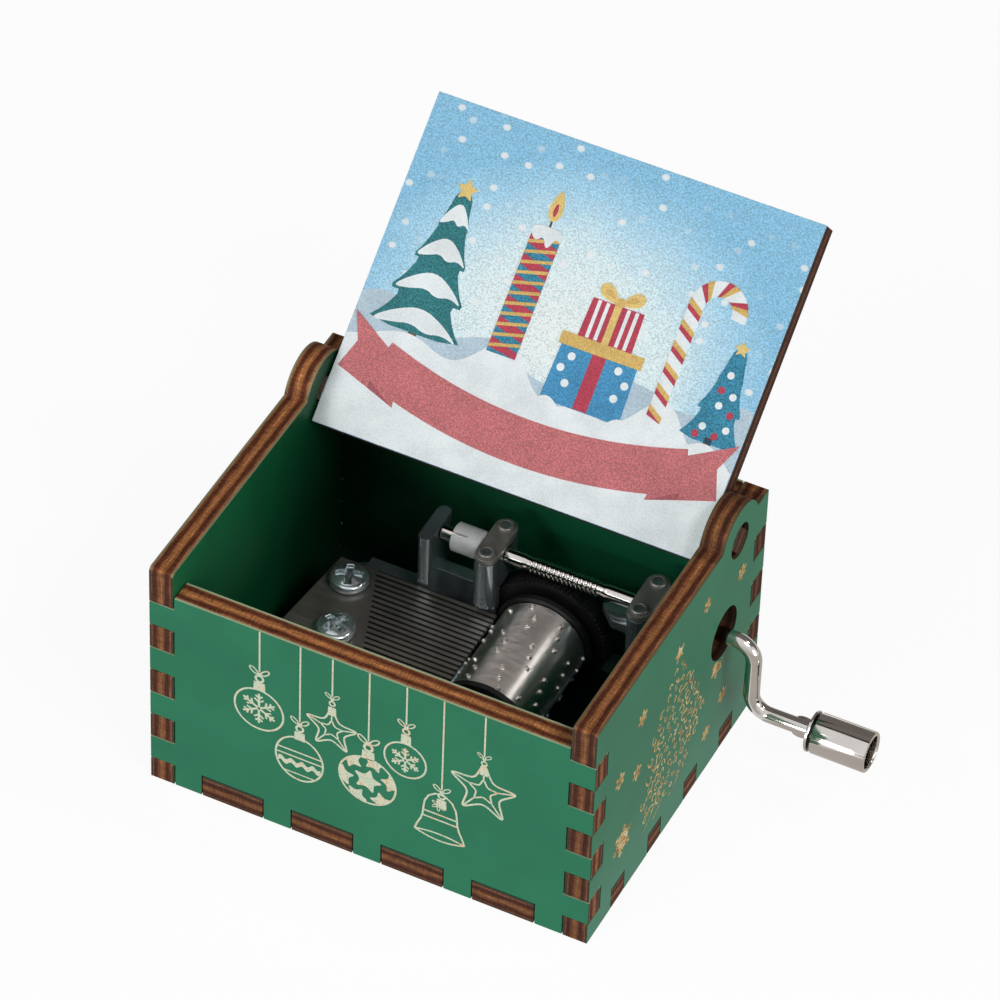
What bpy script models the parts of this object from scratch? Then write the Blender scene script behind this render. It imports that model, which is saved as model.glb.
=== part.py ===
"""Wooden hand-cranked music box: a finger-jointed plywood case, a lid on two wooden pegs and an 18-note
movement, whose bent crank shaft drives the pin drum through a worm and a worm wheel.

Frame: metres, +Z up, origin at the centre of the base's underside. The crank leaves the case on +X, the
front is on -Y, and the lid is open.
"""

import math

import bmesh
import bpy
from mathutils import Matrix, Vector

MM = 0.001

# Case
CASE_WIDTH = 64.0 * MM
CASE_DEPTH = 50.8 * MM
PLY = 3.5 * MM
SIDE_HEIGHT = 38.3 * MM
FRONT_DROP = 4.0 * MM
FRONT_HEIGHT = SIDE_HEIGHT - FRONT_DROP
KERF = 0.15 * MM
FINGER_HEIGHT = 4.12 * MM
CORNER_FINGERS = 7
FRONT_TAB = 9.05 * MM
SIDE_TAB = 3.85 * MM
SIDE_TAB_PITCH = 10.95 * MM
BASE_TABS = 4
CORNER_ROUND = 0.7 * MM

# Lid and its hinge
HINGE_FROM_BACK = 8.6 * MM
HINGE_BELOW_TOP = 1.9 * MM
HINGE_Y = CASE_DEPTH / 2 - HINGE_FROM_BACK
HINGE_Z = SIDE_HEIGHT - HINGE_BELOW_TOP
EAR_RADIUS = 5.6 * MM
HINGE_HOLE_RADIUS = 2.6 * MM
PEG_WIDTH = 3.3 * MM
PEG_RECESS = 0.05 * MM
LID_TAIL = 4.6 * MM
LID_SIDE_GAP = 0.3 * MM
LID_STOP_GAP = 0.1 * MM

# Fits in the movement
SEAT_GAP = 0.1 * MM
RUNNING_GAP = 0.08 * MM

# Crank shaft and its worm
SHAFT_Y = 13.6 * MM
SHAFT_Z = 22.0 * MM
ROD_RADIUS = 1.1 * MM
CRANK_HOLE_RADIUS = 3.9 * MM
CRANK_HOLE_LIFT = 0.3 * MM
ARM_X = 36.5 * MM
ARM_LENGTH = 11.4 * MM
BEND_RADIUS = 2.8 * MM
WORM_START_X = 3.7 * MM
WORM_END_X = 14.5 * MM
WORM_ROOT_RADIUS = 0.92 * MM
THREAD_WIRE_RADIUS = 0.22 * MM
THREAD_CREST_RADIUS = 1.2 * MM
END_PLAY = 0.15 * MM
EAR_LENGTH = 2.3 * MM
EAR_WIDTH = 0.4 * MM
EAR_REACH = 1.45 * MM
EAR_TURN = math.radians(45.0)
PEEN_RADIUS = 1.5 * MM
PEEN_LENGTH = 0.5 * MM

# Knob
KNOB_X = 45.3 * MM
KNOB_RADIUS = 2.85 * MM
KNOB_FLANGE = 0.45 * MM
KNOB_GROOVE = 0.4 * MM
KNOB_GROOVE_DEPTH = 0.4 * MM
KNOB_LENGTH = 8.7 * MM
KNOB_FLOOR = 1.7 * MM
KNOB_WALL = 0.6 * MM
KNOB_END_ROUND = 0.15 * MM

# Worm wheel and drum
DRUM_X = 7.45 * MM
DRUM_Z = 12.4 * MM
DRUM_RADIUS = 6.25 * MM
DRUM_WALL = 0.5 * MM
PIN_HEIGHT = 0.35 * MM
PIN_BASE_RADIUS = 0.26 * MM
PIN_TIP_RADIUS = 0.15 * MM
PINS_PER_TRACK = 4
CAP_FLANGE_RADIUS = 6.95 * MM
CAP_FLANGE = 0.8 * MM
CAP_SPIGOT = 2.5 * MM
CAP_NECK_RADIUS = 5.4 * MM
WHEEL_TEETH = 80
WHEEL_WIDTH = 3.2 * MM
TOOTH_HEIGHT = 0.28 * MM
TOOTH_TIP_WIDTH = 0.12 * MM
TOOTH_ROOT_WIDTH = 0.4 * MM
MESH_DEPTH = 0.2 * MM
ARBOR_RADIUS = 1.0 * MM

# Comb
TEETH = 18
TOOTH_PITCH = 0.92 * MM
SLOT = 0.2 * MM
COMB_REAR_Y = 10.1 * MM
COMB_TOP_Z = 14.2 * MM
COMB_THICKNESS = 1.1 * MM
TOOTH_THICKNESS = 0.5 * MM
COMB_LEFT_REAR_X = -22.4 * MM
COMB_LEFT_FRONT_X = -24.1 * MM
ROOT_REAR_X = -17.0 * MM
ROOT_FRONT_X = -10.9 * MM
COMB_TO_PINS = 0.1 * MM
COMB_TO_POSTS = 0.25 * MM
COMB_HEADROOM = 1.0 * MM
WEIGHTED_TEETH = 6
WEIGHT_X = -3.2 * MM
WEIGHT_LENGTH = 3.2 * MM
WEIGHT_HEIGHT = 1.3 * MM
WEIGHT_LENGTH_STEP = 0.25 * MM
WEIGHT_INSET = 0.07 * MM

# Screws
COMB_SCREWS = {"rear": (-19.3 * MM, 6.4 * MM), "front": (-16.6 * MM, -2.7 * MM)}
SCREW_HEAD_RADIUS = 2.75 * MM
SCREW_HEAD_HEIGHT = 1.7 * MM
SCREW_SHANK_RADIUS = 1.15 * MM
SCREW_LENGTH = 5.0 * MM
SCREW_CLEARANCE = 0.15 * MM
RECESS_LENGTH = 3.2 * MM
RECESS_WIDTH = 0.85 * MM
RECESS_DEPTH = 1.0 * MM
BASE_SCREWS = ((-20.8 * MM, -3.2 * MM), (-20.6 * MM, 8.6 * MM), (21.0 * MM, 13.6 * MM))
BASE_SCREW_HEAD_RADIUS = 1.9 * MM
BASE_SCREW_HEAD_HEIGHT = 1.1 * MM
BASE_SCREW_RADIUS = 0.95 * MM
BASE_SCREW_LENGTH = 7.5 * MM
BASE_SCREW_SINK = 0.15 * MM
BASE_RECESS_LENGTH = 2.0 * MM
BASE_RECESS_WIDTH = 0.5 * MM
BASE_RECESS_DEPTH = 0.6 * MM

# Movement frame
BED_THICKNESS = 1.8 * MM
BED_LEFT_X = -24.3 * MM
BED_RIGHT_X = 23.3 * MM
BED_FRONT_Y = -10.6 * MM
BED_REAR_Y = 19.0 * MM
BED_ROUND = 2.0 * MM
WINDOW_GAP = 0.8 * MM
LEFT_POST_X = -1.3 * MM
RIGHT_POST_X = 21.0 * MM
POST_WIDTH = 3.2 * MM
POST_LENGTH = 9.0 * MM
STOP_SLAB_WIDTH = 2.0 * MM
STOP_SLAB_LENGTH = 7.3 * MM
STOP_SLAB_ABOVE_SHAFT = 1.0 * MM
BUSH_RADIUS = 2.05 * MM
BUSH_LENGTH = 4.3 * MM
BUSH_SLOT_LENGTH = 2.3 * MM
BUSH_SLOT_WIDTH = 0.36 * MM
BUSH_SLOT_TURN = math.radians(124.0)
SHAFT_STUB = 1.9 * MM
WALL_THICKNESS = 2.0 * MM
WALL_TOP_Z = 15.9 * MM
LUG_TOP_Z = 12.7 * MM
LUG_REAR_Y = 13.4 * MM
BOSS_MARGIN = 1.2 * MM
BEARING_THICKNESS = 1.8 * MM
BEARING_RADIUS = 2.6 * MM
BEARING_GAP = 0.25 * MM
GUSSET_TOP_Z = 19.7 * MM
GUSSET_THICKNESS = 1.4 * MM
GUSSET_REACH = 4.9 * MM
GUSSET_HALF_WIDTH = 2.4 * MM
STRAP_THICKNESS = 0.8 * MM
STRAP_WIDTH = 3.2 * MM
STRAP_LENGTH = 9.0 * MM
RIVET_SPACING = 5.8 * MM
RIVET_RADIUS = 0.72 * MM
RIVET_HEAD_RADIUS = 1.15 * MM
RIVET_HEAD_HEIGHT = 0.35 * MM

# What follows from the sizes above
HALF_WIDTH = CASE_WIDTH / 2
HALF_DEPTH = CASE_DEPTH / 2
INNER_HALF_WIDTH = HALF_WIDTH - PLY
INNER_HALF_DEPTH = HALF_DEPTH - PLY
BED_Z = PLY + SEAT_GAP
BED_TOP_Z = BED_Z + BED_THICKNESS
COMB_BOTTOM_Z = COMB_TOP_Z - COMB_THICKNESS
COMB_FRONT_Y = COMB_REAR_Y - TEETH * TOOTH_PITCH
PIN_REACH = DRUM_RADIUS + PIN_HEIGHT
DRUM_REAR_Y = COMB_REAR_Y + 0.25 * MM
DRUM_FRONT_Y = COMB_FRONT_Y - 0.25 * MM
TOOTH_TIP_X = DRUM_X - math.sqrt(
    (PIN_REACH + COMB_TO_PINS) ** 2 - (COMB_TOP_Z - TOOTH_THICKNESS - DRUM_Z) ** 2
)
WHEEL_CENTRE_GAP = SHAFT_Z - DRUM_Z
WHEEL_TIP_RADIUS = WHEEL_CENTRE_GAP - THREAD_CREST_RADIUS + MESH_DEPTH
WHEEL_ROOT_RADIUS = WHEEL_TIP_RADIUS - TOOTH_HEIGHT
WORM_PITCH = 2 * math.pi * (WHEEL_TIP_RADIUS - MESH_DEPTH / 2) / WHEEL_TEETH
WHEEL_FRONT_Y = SHAFT_Y - WHEEL_WIDTH / 2
WHEEL_REAR_Y = SHAFT_Y + WHEEL_WIDTH / 2
POST_TOP_Z = SHAFT_Z + ROD_RADIUS
STRAP_Z = POST_TOP_Z + SEAT_GAP
STRAP_TOP_Z = STRAP_Z + STRAP_THICKNESS
BUSH_RIGHT_X = LEFT_POST_X - POST_WIDTH / 2 - SEAT_GAP
BUSH_LEFT_X = BUSH_RIGHT_X - BUSH_LENGTH
SHAFT_LEFT_X = BUSH_LEFT_X - SHAFT_STUB
STOP_SLAB_X = SHAFT_LEFT_X - END_PLAY - STOP_SLAB_WIDTH / 2
KNOB_END_X = KNOB_X + KNOB_LENGTH
KNOB_Z = SHAFT_Z - ARM_LENGTH
ROD_END_X = KNOB_X + KNOB_FLOOR + SEAT_GAP + PEEN_LENGTH

# Colours, roughness and metallic of each finish
FINISHES = {
    "painted_ply": ((0.020, 0.190, 0.100), 0.6, 0.0),
    "printed_ply": ((0.400, 0.600, 0.760), 0.7, 0.0),
    "zinc_casting": ((0.045, 0.052, 0.058), 0.45, 0.8),
    "strap_steel": ((0.085, 0.080, 0.078), 0.4, 0.9),
    "comb_steel": ((0.070, 0.068, 0.066), 0.35, 0.9),
    "lead": ((0.110, 0.110, 0.120), 0.6, 0.8),
    "zinc_plate": ((0.600, 0.680, 0.700), 0.2, 1.0),
    "nickel_plate": ((0.680, 0.650, 0.620), 0.12, 1.0),
    "white_plastic": ((0.640, 0.650, 0.650), 0.4, 0.0),
    "black_plastic": ((0.012, 0.012, 0.013), 0.3, 0.0),
    "bright_steel": ((0.600, 0.600, 0.600), 0.2, 1.0),
}


def clear_scene():
    for item in list(bpy.data.objects):
        bpy.data.objects.remove(item, do_unlink=True)


def new_collection(name, helper=False):
    made = bpy.data.collections.new(name)
    bpy.context.scene.collection.children.link(made)
    made.hide_render = helper
    return made


def new_material(name):
    colour, roughness, metallic = FINISHES[name]
    made = bpy.data.materials.new(name)
    made.use_nodes = True
    shader = made.node_tree.nodes["Principled BSDF"]
    shader.inputs["Base Color"].default_value = (*colour, 1.0)
    shader.inputs["Roughness"].default_value = roughness
    shader.inputs["Metallic"].default_value = metallic
    made.diffuse_color = (*colour, 1.0)
    return made


def link(data, name, collection):
    made = bpy.data.objects.new(name, data)
    collection.objects.link(made)
    return made


def part(name, data, finish, smooth=False):
    """A named piece of the music box, made from a mesh or a curve."""
    made = link(data, name, PARTS)
    data.materials.append(MATERIALS[finish])
    if smooth and made.type == "MESH":
        data.shade_smooth()
        data.set_sharp_from_angle(angle=math.radians(35.0))
    return made


def helper(name, data):
    """A cutter or a shape to be joined, which is no piece by itself."""
    made = link(data, name, CUTTERS)
    made.hide_render = True
    made.display_type = "WIRE"
    return made


def boolean(target, other, operation):
    modifier = target.modifiers.new(other.name, "BOOLEAN")
    modifier.operation = operation
    modifier.object = other
    modifier.solver = "EXACT"


def cut(target, other):
    boolean(target, other, "DIFFERENCE")


def join(target, other):
    boolean(target, other, "UNION")


def evaluated_mesh(obj, name):
    """The object's shape with its modifiers as a mesh of its own, its loose caps welded."""
    graph = bpy.context.evaluated_depsgraph_get()
    mesh = bpy.data.meshes.new_from_object(obj.evaluated_get(graph), depsgraph=graph)
    mesh.name = name
    shape = bmesh.new()
    shape.from_mesh(mesh)
    bmesh.ops.remove_doubles(shape, verts=shape.verts, dist=1e-7)
    bmesh.ops.recalc_face_normals(shape, faces=shape.faces)
    shape.to_mesh(mesh)
    shape.free()
    return mesh


def as_mesh(name, data):
    """The mesh of a curve's data, for a piece that is cut or joined."""
    temporary = link(data, name + "_curve", CUTTERS)
    bpy.context.view_layer.update()
    mesh = evaluated_mesh(temporary, name)
    bpy.data.objects.remove(temporary, do_unlink=True)
    bpy.data.curves.remove(data)
    return mesh


def outline(name, loops, thickness):
    """A flat sheet: a 2D curve, outer loop first and holes after it, in its own XY plane."""
    data = bpy.data.curves.new(name, "CURVE")
    data.dimensions = "2D"
    data.fill_mode = "BOTH"
    data.extrude = thickness / 2
    for loop in loops:
        spline = data.splines.new("POLY")
        spline.points.add(len(loop) - 1)
        for point, (x, y) in zip(spline.points, loop):
            point.co = (x, y, 0.0, 1.0)
        spline.use_cyclic_u = True
    return data


def arc(x, y, radius, start, end, steps):
    """Points of an arc in degrees, both ends included."""
    turns = [math.radians(start + (end - start) * i / steps) for i in range(steps + 1)]
    return [(x + radius * math.cos(t), y + radius * math.sin(t)) for t in turns]


def circle(x, y, radius, steps):
    return arc(x, y, radius, 0.0, 360.0, steps)[:-1]


def stadium(x, y, width, length, steps=8):
    """A round-ended bar that runs along the second axis."""
    reach = length / 2 - width / 2
    return arc(x, y + reach, width / 2, 0, 180, steps) + arc(x, y - reach, width / 2, 180, 360, steps)


def round_rectangle(left, right, low, high, radius, steps=4):
    return (
        arc(right - radius, high - radius, radius, 0, 90, steps)
        + arc(left + radius, high - radius, radius, 90, 180, steps)
        + arc(left + radius, low + radius, radius, 180, 270, steps)
        + arc(right - radius, low + radius, radius, 270, 360, steps)
    )


ALONG_X = Matrix(((0, 0, 1, 0), (1, 0, 0, 0), (0, 1, 0, 0), (0, 0, 0, 1)))
ALONG_Y = Matrix(((1, 0, 0, 0), (0, 0, -1, 0), (0, 1, 0, 0), (0, 0, 0, 1)))


def sheet_mesh(name, loops, low, high, along="Z"):
    """A straight-sided solid from an outline, from low to high along X, Y or Z.

    The outline is given as (y, z) along X, as (x, z) along Y and as (x, y) along Z.
    """
    mesh = as_mesh(name, outline(name, loops, high - low))
    middle = (low + high) / 2
    if along == "X":
        mesh.transform(Matrix.Translation((middle, 0, 0)) @ ALONG_X)
    elif along == "Y":
        mesh.transform(Matrix.Translation((0, middle, 0)) @ ALONG_Y)
    else:
        mesh.transform(Matrix.Translation((0, 0, middle)))
    return mesh


def turned_mesh(name, profile, steps):
    """A turned solid about Z from (radius, height) pairs, which run from the top down its outer side."""
    mesh = bpy.data.meshes.new(name)
    points = [(radius, 0.0, height) for radius, height in profile]
    edges = [(i, i + 1) for i in range(len(profile) - 1)]
    if profile[0][0] > 0:
        edges.append((len(profile) - 1, 0))
    mesh.from_pydata(points, edges, [])
    temporary = link(mesh, name + "_profile", CUTTERS)
    screw = temporary.modifiers.new("turn", "SCREW")
    screw.steps = steps
    screw.render_steps = steps
    screw.use_merge_vertices = True
    screw.merge_threshold = 1e-6
    bpy.context.view_layer.update()
    made = evaluated_mesh(temporary, name)
    bpy.data.objects.remove(temporary, do_unlink=True)
    return made


def turned_along(name, profile, steps, direction, centre):
    """A turned solid whose axis runs along direction, from a profile of (radius, distance) pairs."""
    made = turned_mesh(name, profile, steps)
    turn = Vector((0, 0, 1)).rotation_difference(Vector(direction)).to_matrix().to_4x4()
    made.transform(Matrix.Translation(centre) @ turn)
    return made


def box_mesh(name, low, high):
    made = bpy.data.meshes.new(name)
    shape = bmesh.new()
    bmesh.ops.create_cube(shape, size=1.0)
    shape.to_mesh(made)
    shape.free()
    size = Vector(high) - Vector(low)
    middle = (Vector(high) + Vector(low)) / 2
    made.transform(Matrix.Translation(middle) @ Matrix.Diagonal((*size, 1.0)))
    return made


def grouped(name, meshes):
    """Separate bodies as one mesh."""
    whole = bmesh.new()
    for mesh in meshes:
        whole.from_mesh(mesh)
        bpy.data.meshes.remove(mesh)
    made = bpy.data.meshes.new(name)
    whole.to_mesh(made)
    whole.free()
    return made


def cylinder_mesh(name, radius, low, high, steps, direction, centre):
    profile = [(0.0, high), (radius, high), (radius, low), (0.0, low)]
    return turned_along(name, profile, steps, direction, centre)


def stepped(fingers, inner, outer):
    """The steps of a finger joint along one edge, as (height, level) pairs."""
    points = []
    for low, high in fingers:
        points += [(low + KERF / 2, inner), (low + KERF / 2, outer)]
        points += [(high - KERF / 2, outer), (high - KERF / 2, inner)]
    return points


def finger_heights():
    """Heights at which the fingers of the four upright corners change."""
    return [PLY + FINGER_HEIGHT * k for k in range(CORNER_FINGERS + 1)]


def centred_tabs(width, pitch):
    """The base's tabs along one edge, as (low, high) pairs about the middle."""
    middles = [(i - (BASE_TABS - 1) / 2) * pitch for i in range(BASE_TABS)]
    return [(middle - width / 2, middle + width / 2) for middle in middles]


def front_tabs():
    gap = (2 * INNER_HALF_WIDTH - BASE_TABS * FRONT_TAB) / (BASE_TABS + 1)
    return centred_tabs(FRONT_TAB, FRONT_TAB + gap)


def side_tabs():
    return centred_tabs(SIDE_TAB, SIDE_TAB_PITCH)


def between(tabs, start, end):
    """The stretches from start to end that the tabs leave free."""
    marks = [start] + [value for tab in tabs for value in tab] + [end]
    return [(marks[i], marks[i + 1]) for i in range(0, len(marks), 2)]


def face_loop(top):
    """Outline of the front or back panel as (x, z) pairs, counter-clockwise."""
    heights = finger_heights()
    fingers = [(heights[k], heights[k + 1]) for k in range(0, CORNER_FINGERS, 2)]
    inner = INNER_HALF_WIDTH - KERF
    bottom = PLY + KERF
    feet = between(front_tabs(), -INNER_HALF_WIDTH, INNER_HALF_WIDTH)
    loop = []
    for i, (low, high) in enumerate(feet):
        left = -inner if i == 0 else low + KERF / 2
        right = inner if i == len(feet) - 1 else high - KERF / 2
        start = [(left, 0.0)] if i == 0 else [(left, bottom), (left, 0.0)]
        loop += start + [(right, 0.0)]
        if i < len(feet) - 1:
            loop.append((right, bottom))
    rising = stepped(fingers, inner, HALF_WIDTH)
    loop += [(level, z) for z, level in rising]
    loop += [(inner, top), (-inner, top)]
    loop += [(-level, z) for z, level in reversed(rising)]
    return loop


def side_loop():
    """Outline of a side panel as (y, z) pairs, counter-clockwise, with its ear."""
    heights = finger_heights()
    fingers = [(heights[k], heights[k + 1]) for k in range(1, CORNER_FINGERS, 2)]
    inner = INNER_HALF_DEPTH - KERF
    loop = [(-HALF_DEPTH, 0.0)]
    for low, high in side_tabs():
        loop += [(low - KERF / 2, 0.0), (low - KERF / 2, PLY + KERF)]
        loop += [(high + KERF / 2, PLY + KERF), (high + KERF / 2, 0.0)]
    loop.append((HALF_DEPTH, 0.0))
    foot = heights[0] - KERF / 2
    neck = heights[CORNER_FINGERS] + KERF / 2
    rising = [(foot, HALF_DEPTH), (foot, inner), *stepped(fingers, inner, HALF_DEPTH)]
    rising += [(neck, inner), (neck, HALF_DEPTH)]
    loop += [(level, z) for z, level in rising]
    loop.append((HALF_DEPTH, SIDE_HEIGHT))
    meet = math.degrees(math.asin((SIDE_HEIGHT - HINGE_Z) / EAR_RADIUS))
    loop += arc(HINGE_Y, HINGE_Z, EAR_RADIUS, meet, 180 - meet, 24)
    loop += arc(CORNER_ROUND - HALF_DEPTH, SIDE_HEIGHT - CORNER_ROUND, CORNER_ROUND, 90, 180, 4)
    loop += [(-level, z) for z, level in reversed(rising)]
    return loop


def base_tabs():
    """The finger tabs on the base's four edges, which start a little inside its sheet."""
    lap = PLY / 2
    boxes = []
    for sign in (-1, 1):
        for low, high in front_tabs():
            ends = sorted((sign * (INNER_HALF_DEPTH - lap), sign * HALF_DEPTH))
            boxes.append(((low + KERF / 2, ends[0], 0.0), (high - KERF / 2, ends[1], PLY)))
        for low, high in side_tabs():
            ends = sorted((sign * (INNER_HALF_WIDTH - lap), sign * HALF_WIDTH))
            boxes.append(((ends[0], low + KERF / 2, 0.0), (ends[1], high - KERF / 2, PLY)))
    return grouped("base_tabs", [box_mesh("tab", low, high) for low, high in boxes])


def lid_lean():
    """Angle of the open lid above the horizontal, where its back meets the back panel's inner top edge."""
    edge = Vector((INNER_HALF_DEPTH - HINGE_Y, SIDE_HEIGHT - HINGE_Z))
    reach = PLY / 2 + LID_STOP_GAP
    return math.atan2(edge.y, edge.x) + math.asin(reach / edge.length)


def lid_loop():
    """Outline of the lid about its hinge axis: x across, and y from the tail to the front edge."""
    half = INNER_HALF_WIDTH - LID_SIDE_GAP
    peg = HALF_WIDTH - PEG_RECESS
    front = HINGE_Y + HALF_DEPTH
    return [
        (-half, -LID_TAIL),
        (half, -LID_TAIL),
        (half, -PEG_WIDTH / 2),
        (peg, -PEG_WIDTH / 2),
        (peg, PEG_WIDTH / 2),
        (half, PEG_WIDTH / 2),
        (half, front),
        (-half, front),
        (-half, PEG_WIDTH / 2),
        (-peg, PEG_WIDTH / 2),
        (-peg, -PEG_WIDTH / 2),
        (-half, -PEG_WIDTH / 2),
    ]


def make_case():
    inner = Vector((INNER_HALF_WIDTH - KERF, INNER_HALF_DEPTH - KERF, 0))
    base = part("base_panel", box_mesh("base_panel", -inner, inner + Vector((0, 0, PLY))), "painted_ply")
    holes = [base_screw_hole(x, y) for x, y in BASE_SCREWS]
    cut(base, helper("base_screw_holes", grouped("base_screw_holes", holes)))
    join(base, helper("base_tabs", base_tabs()))
    front = sheet_mesh("front_panel", [face_loop(FRONT_HEIGHT)], -HALF_DEPTH, -INNER_HALF_DEPTH, "Y")
    part("front_panel", front, "painted_ply")
    back = sheet_mesh("back_panel", [face_loop(SIDE_HEIGHT)], INNER_HALF_DEPTH, HALF_DEPTH, "Y")
    part("back_panel", back, "painted_ply")
    hinge_hole = circle(HINGE_Y, HINGE_Z, HINGE_HOLE_RADIUS, 32)
    crank_hole = circle(SHAFT_Y, SHAFT_Z + CRANK_HOLE_LIFT, CRANK_HOLE_RADIUS, 40)
    left = [side_loop(), hinge_hole]
    right = [side_loop(), hinge_hole, crank_hole]
    left_mesh = sheet_mesh("left_side_panel", left, -HALF_WIDTH, -INNER_HALF_WIDTH, "X")
    part("left_side_panel", left_mesh, "painted_ply")
    right_mesh = sheet_mesh("right_side_panel", right, INNER_HALF_WIDTH, HALF_WIDTH, "X")
    part("right_side_panel", right_mesh, "painted_ply")


def make_lid():
    lid = part("lid_panel", sheet_mesh("lid_panel", [lid_loop()], -PLY / 2, PLY / 2), "printed_ply")
    lid.location = (0, HINGE_Y, HINGE_Z)
    lid.rotation_euler = (lid_lean(), 0, 0)


def root_x(y):
    """Where the comb's slots end, on a slanted line."""
    share = (COMB_REAR_Y - y) / (COMB_REAR_Y - COMB_FRONT_Y)
    return ROOT_REAR_X + (ROOT_FRONT_X - ROOT_REAR_X) * share


def comb_loop():
    loop = [(COMB_LEFT_REAR_X, COMB_REAR_Y), (COMB_LEFT_FRONT_X, COMB_FRONT_Y), (TOOTH_TIP_X, COMB_FRONT_Y)]
    for i in range(TEETH - 1, 0, -1):
        y = COMB_REAR_Y - i * TOOTH_PITCH
        low, high = y - SLOT / 2, y + SLOT / 2
        loop += [(TOOTH_TIP_X, low), (root_x(y), low), (root_x(y), high), (TOOTH_TIP_X, high)]
    loop.append((TOOTH_TIP_X, COMB_REAR_Y))
    return loop


def make_comb():
    hole = SCREW_SHANK_RADIUS + SCREW_CLEARANCE
    holes = [circle(x, y, hole, 20) for x, y in COMB_SCREWS.values()]
    sheet = sheet_mesh("comb", [comb_loop(), *holes], COMB_BOTTOM_Z, COMB_TOP_Z)
    comb = part("comb", sheet, "comb_steel")
    beyond = 1.0 * MM
    thinned = [
        (ROOT_REAR_X + beyond, COMB_REAR_Y + beyond),
        (ROOT_FRONT_X + beyond, COMB_FRONT_Y - beyond),
        (TOOTH_TIP_X + beyond, COMB_FRONT_Y - beyond),
        (TOOTH_TIP_X + beyond, COMB_REAR_Y + beyond),
    ]
    under = COMB_TOP_Z - TOOTH_THICKNESS
    cut(comb, helper("under_teeth", sheet_mesh("under_teeth", [thinned], COMB_BOTTOM_Z - beyond, under)))


def make_comb_weights():
    """Lead blocks under the longest teeth, one to a tooth and shorter towards the middle of the comb."""
    top = COMB_TOP_Z - TOOTH_THICKNESS - SEAT_GAP / 2
    half = (TOOTH_PITCH - SLOT) / 2 - WEIGHT_INSET
    for i in range(WEIGHTED_TEETH):
        middle = COMB_REAR_Y - (i + 0.5) * TOOTH_PITCH
        length = WEIGHT_LENGTH - WEIGHT_LENGTH_STEP * i
        low = (WEIGHT_X - length, middle - half, top - WEIGHT_HEIGHT)
        name = f"tuning_weight_{i + 1}"
        part(name, box_mesh(name, low, (WEIGHT_X, middle + half, top)), "lead")


def cut_recess(screw, name, place, size, turn):
    """Cut a cross recess about a point of the head's flat; size is a bar's (length, width, depth)."""
    length, width, depth = size
    half = Vector((length / 2, width / 2, depth))
    for i in range(2):
        bar = box_mesh(f"{name}_recess_{i}", -half, half)
        bar.transform(Matrix.Translation(place) @ Matrix.Rotation(turn + i * math.pi / 2, 4, "Z"))
        cut(screw, helper(bar.name, bar))


def make_comb_screws():
    head_z = COMB_TOP_Z + SEAT_GAP
    edge = 0.25 * MM
    profile = [
        (0.0, head_z + SCREW_HEAD_HEIGHT),
        (SCREW_HEAD_RADIUS * 0.6, head_z + SCREW_HEAD_HEIGHT * 0.93),
        (SCREW_HEAD_RADIUS * 0.88, head_z + SCREW_HEAD_HEIGHT * 0.72),
        (SCREW_HEAD_RADIUS, head_z + SCREW_HEAD_HEIGHT * 0.35),
        (SCREW_HEAD_RADIUS, head_z + edge),
        (SCREW_HEAD_RADIUS - edge, head_z),
        (SCREW_SHANK_RADIUS, head_z),
        (SCREW_SHANK_RADIUS, head_z - SCREW_LENGTH + SCREW_SHANK_RADIUS),
        (SCREW_SHANK_RADIUS / 2, head_z - SCREW_LENGTH),
        (0.0, head_z - SCREW_LENGTH),
    ]
    turns = {"rear": math.radians(20.0), "front": math.radians(-28.0)}
    for place, (x, y) in COMB_SCREWS.items():
        name = f"comb_screw_{place}"
        mesh = turned_along(name, profile, 24, (0, 0, 1), (x, y, 0))
        screw = part(name, mesh, "zinc_plate", smooth=True)
        size = (RECESS_LENGTH, RECESS_WIDTH, RECESS_DEPTH)
        cut_recess(screw, name, (x, y, head_z + SCREW_HEAD_HEIGHT), size, turns[place])


def base_screw_profile(clearance):
    """Countersunk screw from below: the head's flat face down, (radius, height) from the tip."""
    head = BASE_SCREW_HEAD_RADIUS + clearance
    shank = BASE_SCREW_RADIUS + clearance
    top = BASE_SCREW_LENGTH + clearance
    neck = BASE_SCREW_SINK + BASE_SCREW_HEAD_HEIGHT
    return head, shank, top, neck


def base_screw_hole(x, y):
    head, shank, _, neck = base_screw_profile(SCREW_CLEARANCE)
    beyond = 1.0 * MM
    profile = [(0.0, PLY + beyond), (shank, PLY + beyond), (shank, neck), (head, BASE_SCREW_SINK)]
    profile += [(head, -beyond), (0.0, -beyond)]
    return turned_along("base_screw_hole", profile, 20, (0, 0, 1), (x, y, 0))


def make_base_screws():
    """Three countersunk screws, each with a small cross recess in its head."""
    head, shank, top, neck = base_screw_profile(0.0)
    tip = 0.6 * MM
    profile = [(0.0, top), (shank / 2, top), (shank, top - tip), (shank, neck)]
    profile += [(head, BASE_SCREW_SINK), (0.0, BASE_SCREW_SINK)]
    size = (BASE_RECESS_LENGTH, BASE_RECESS_WIDTH, BASE_RECESS_DEPTH)
    for i, (x, y) in enumerate(BASE_SCREWS):
        name = f"base_screw_{i + 1}"
        mesh = turned_along(name, profile, 20, (0, 0, 1), (x, y, 0))
        screw = part(name, mesh, "zinc_plate", smooth=True)
        cut_recess(screw, name, (x, y, BASE_SCREW_SINK), size, math.radians(15.0 + 40.0 * i))


def boss_loop():
    """The block under the comb's plate, which stays clear of the teeth."""
    left = BOSS_MARGIN / 2
    return [
        (COMB_LEFT_REAR_X + left, COMB_REAR_Y),
        (COMB_LEFT_FRONT_X + left, COMB_FRONT_Y),
        (ROOT_FRONT_X - BOSS_MARGIN, COMB_FRONT_Y),
        (ROOT_REAR_X - BOSS_MARGIN, COMB_REAR_Y),
    ]


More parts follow.
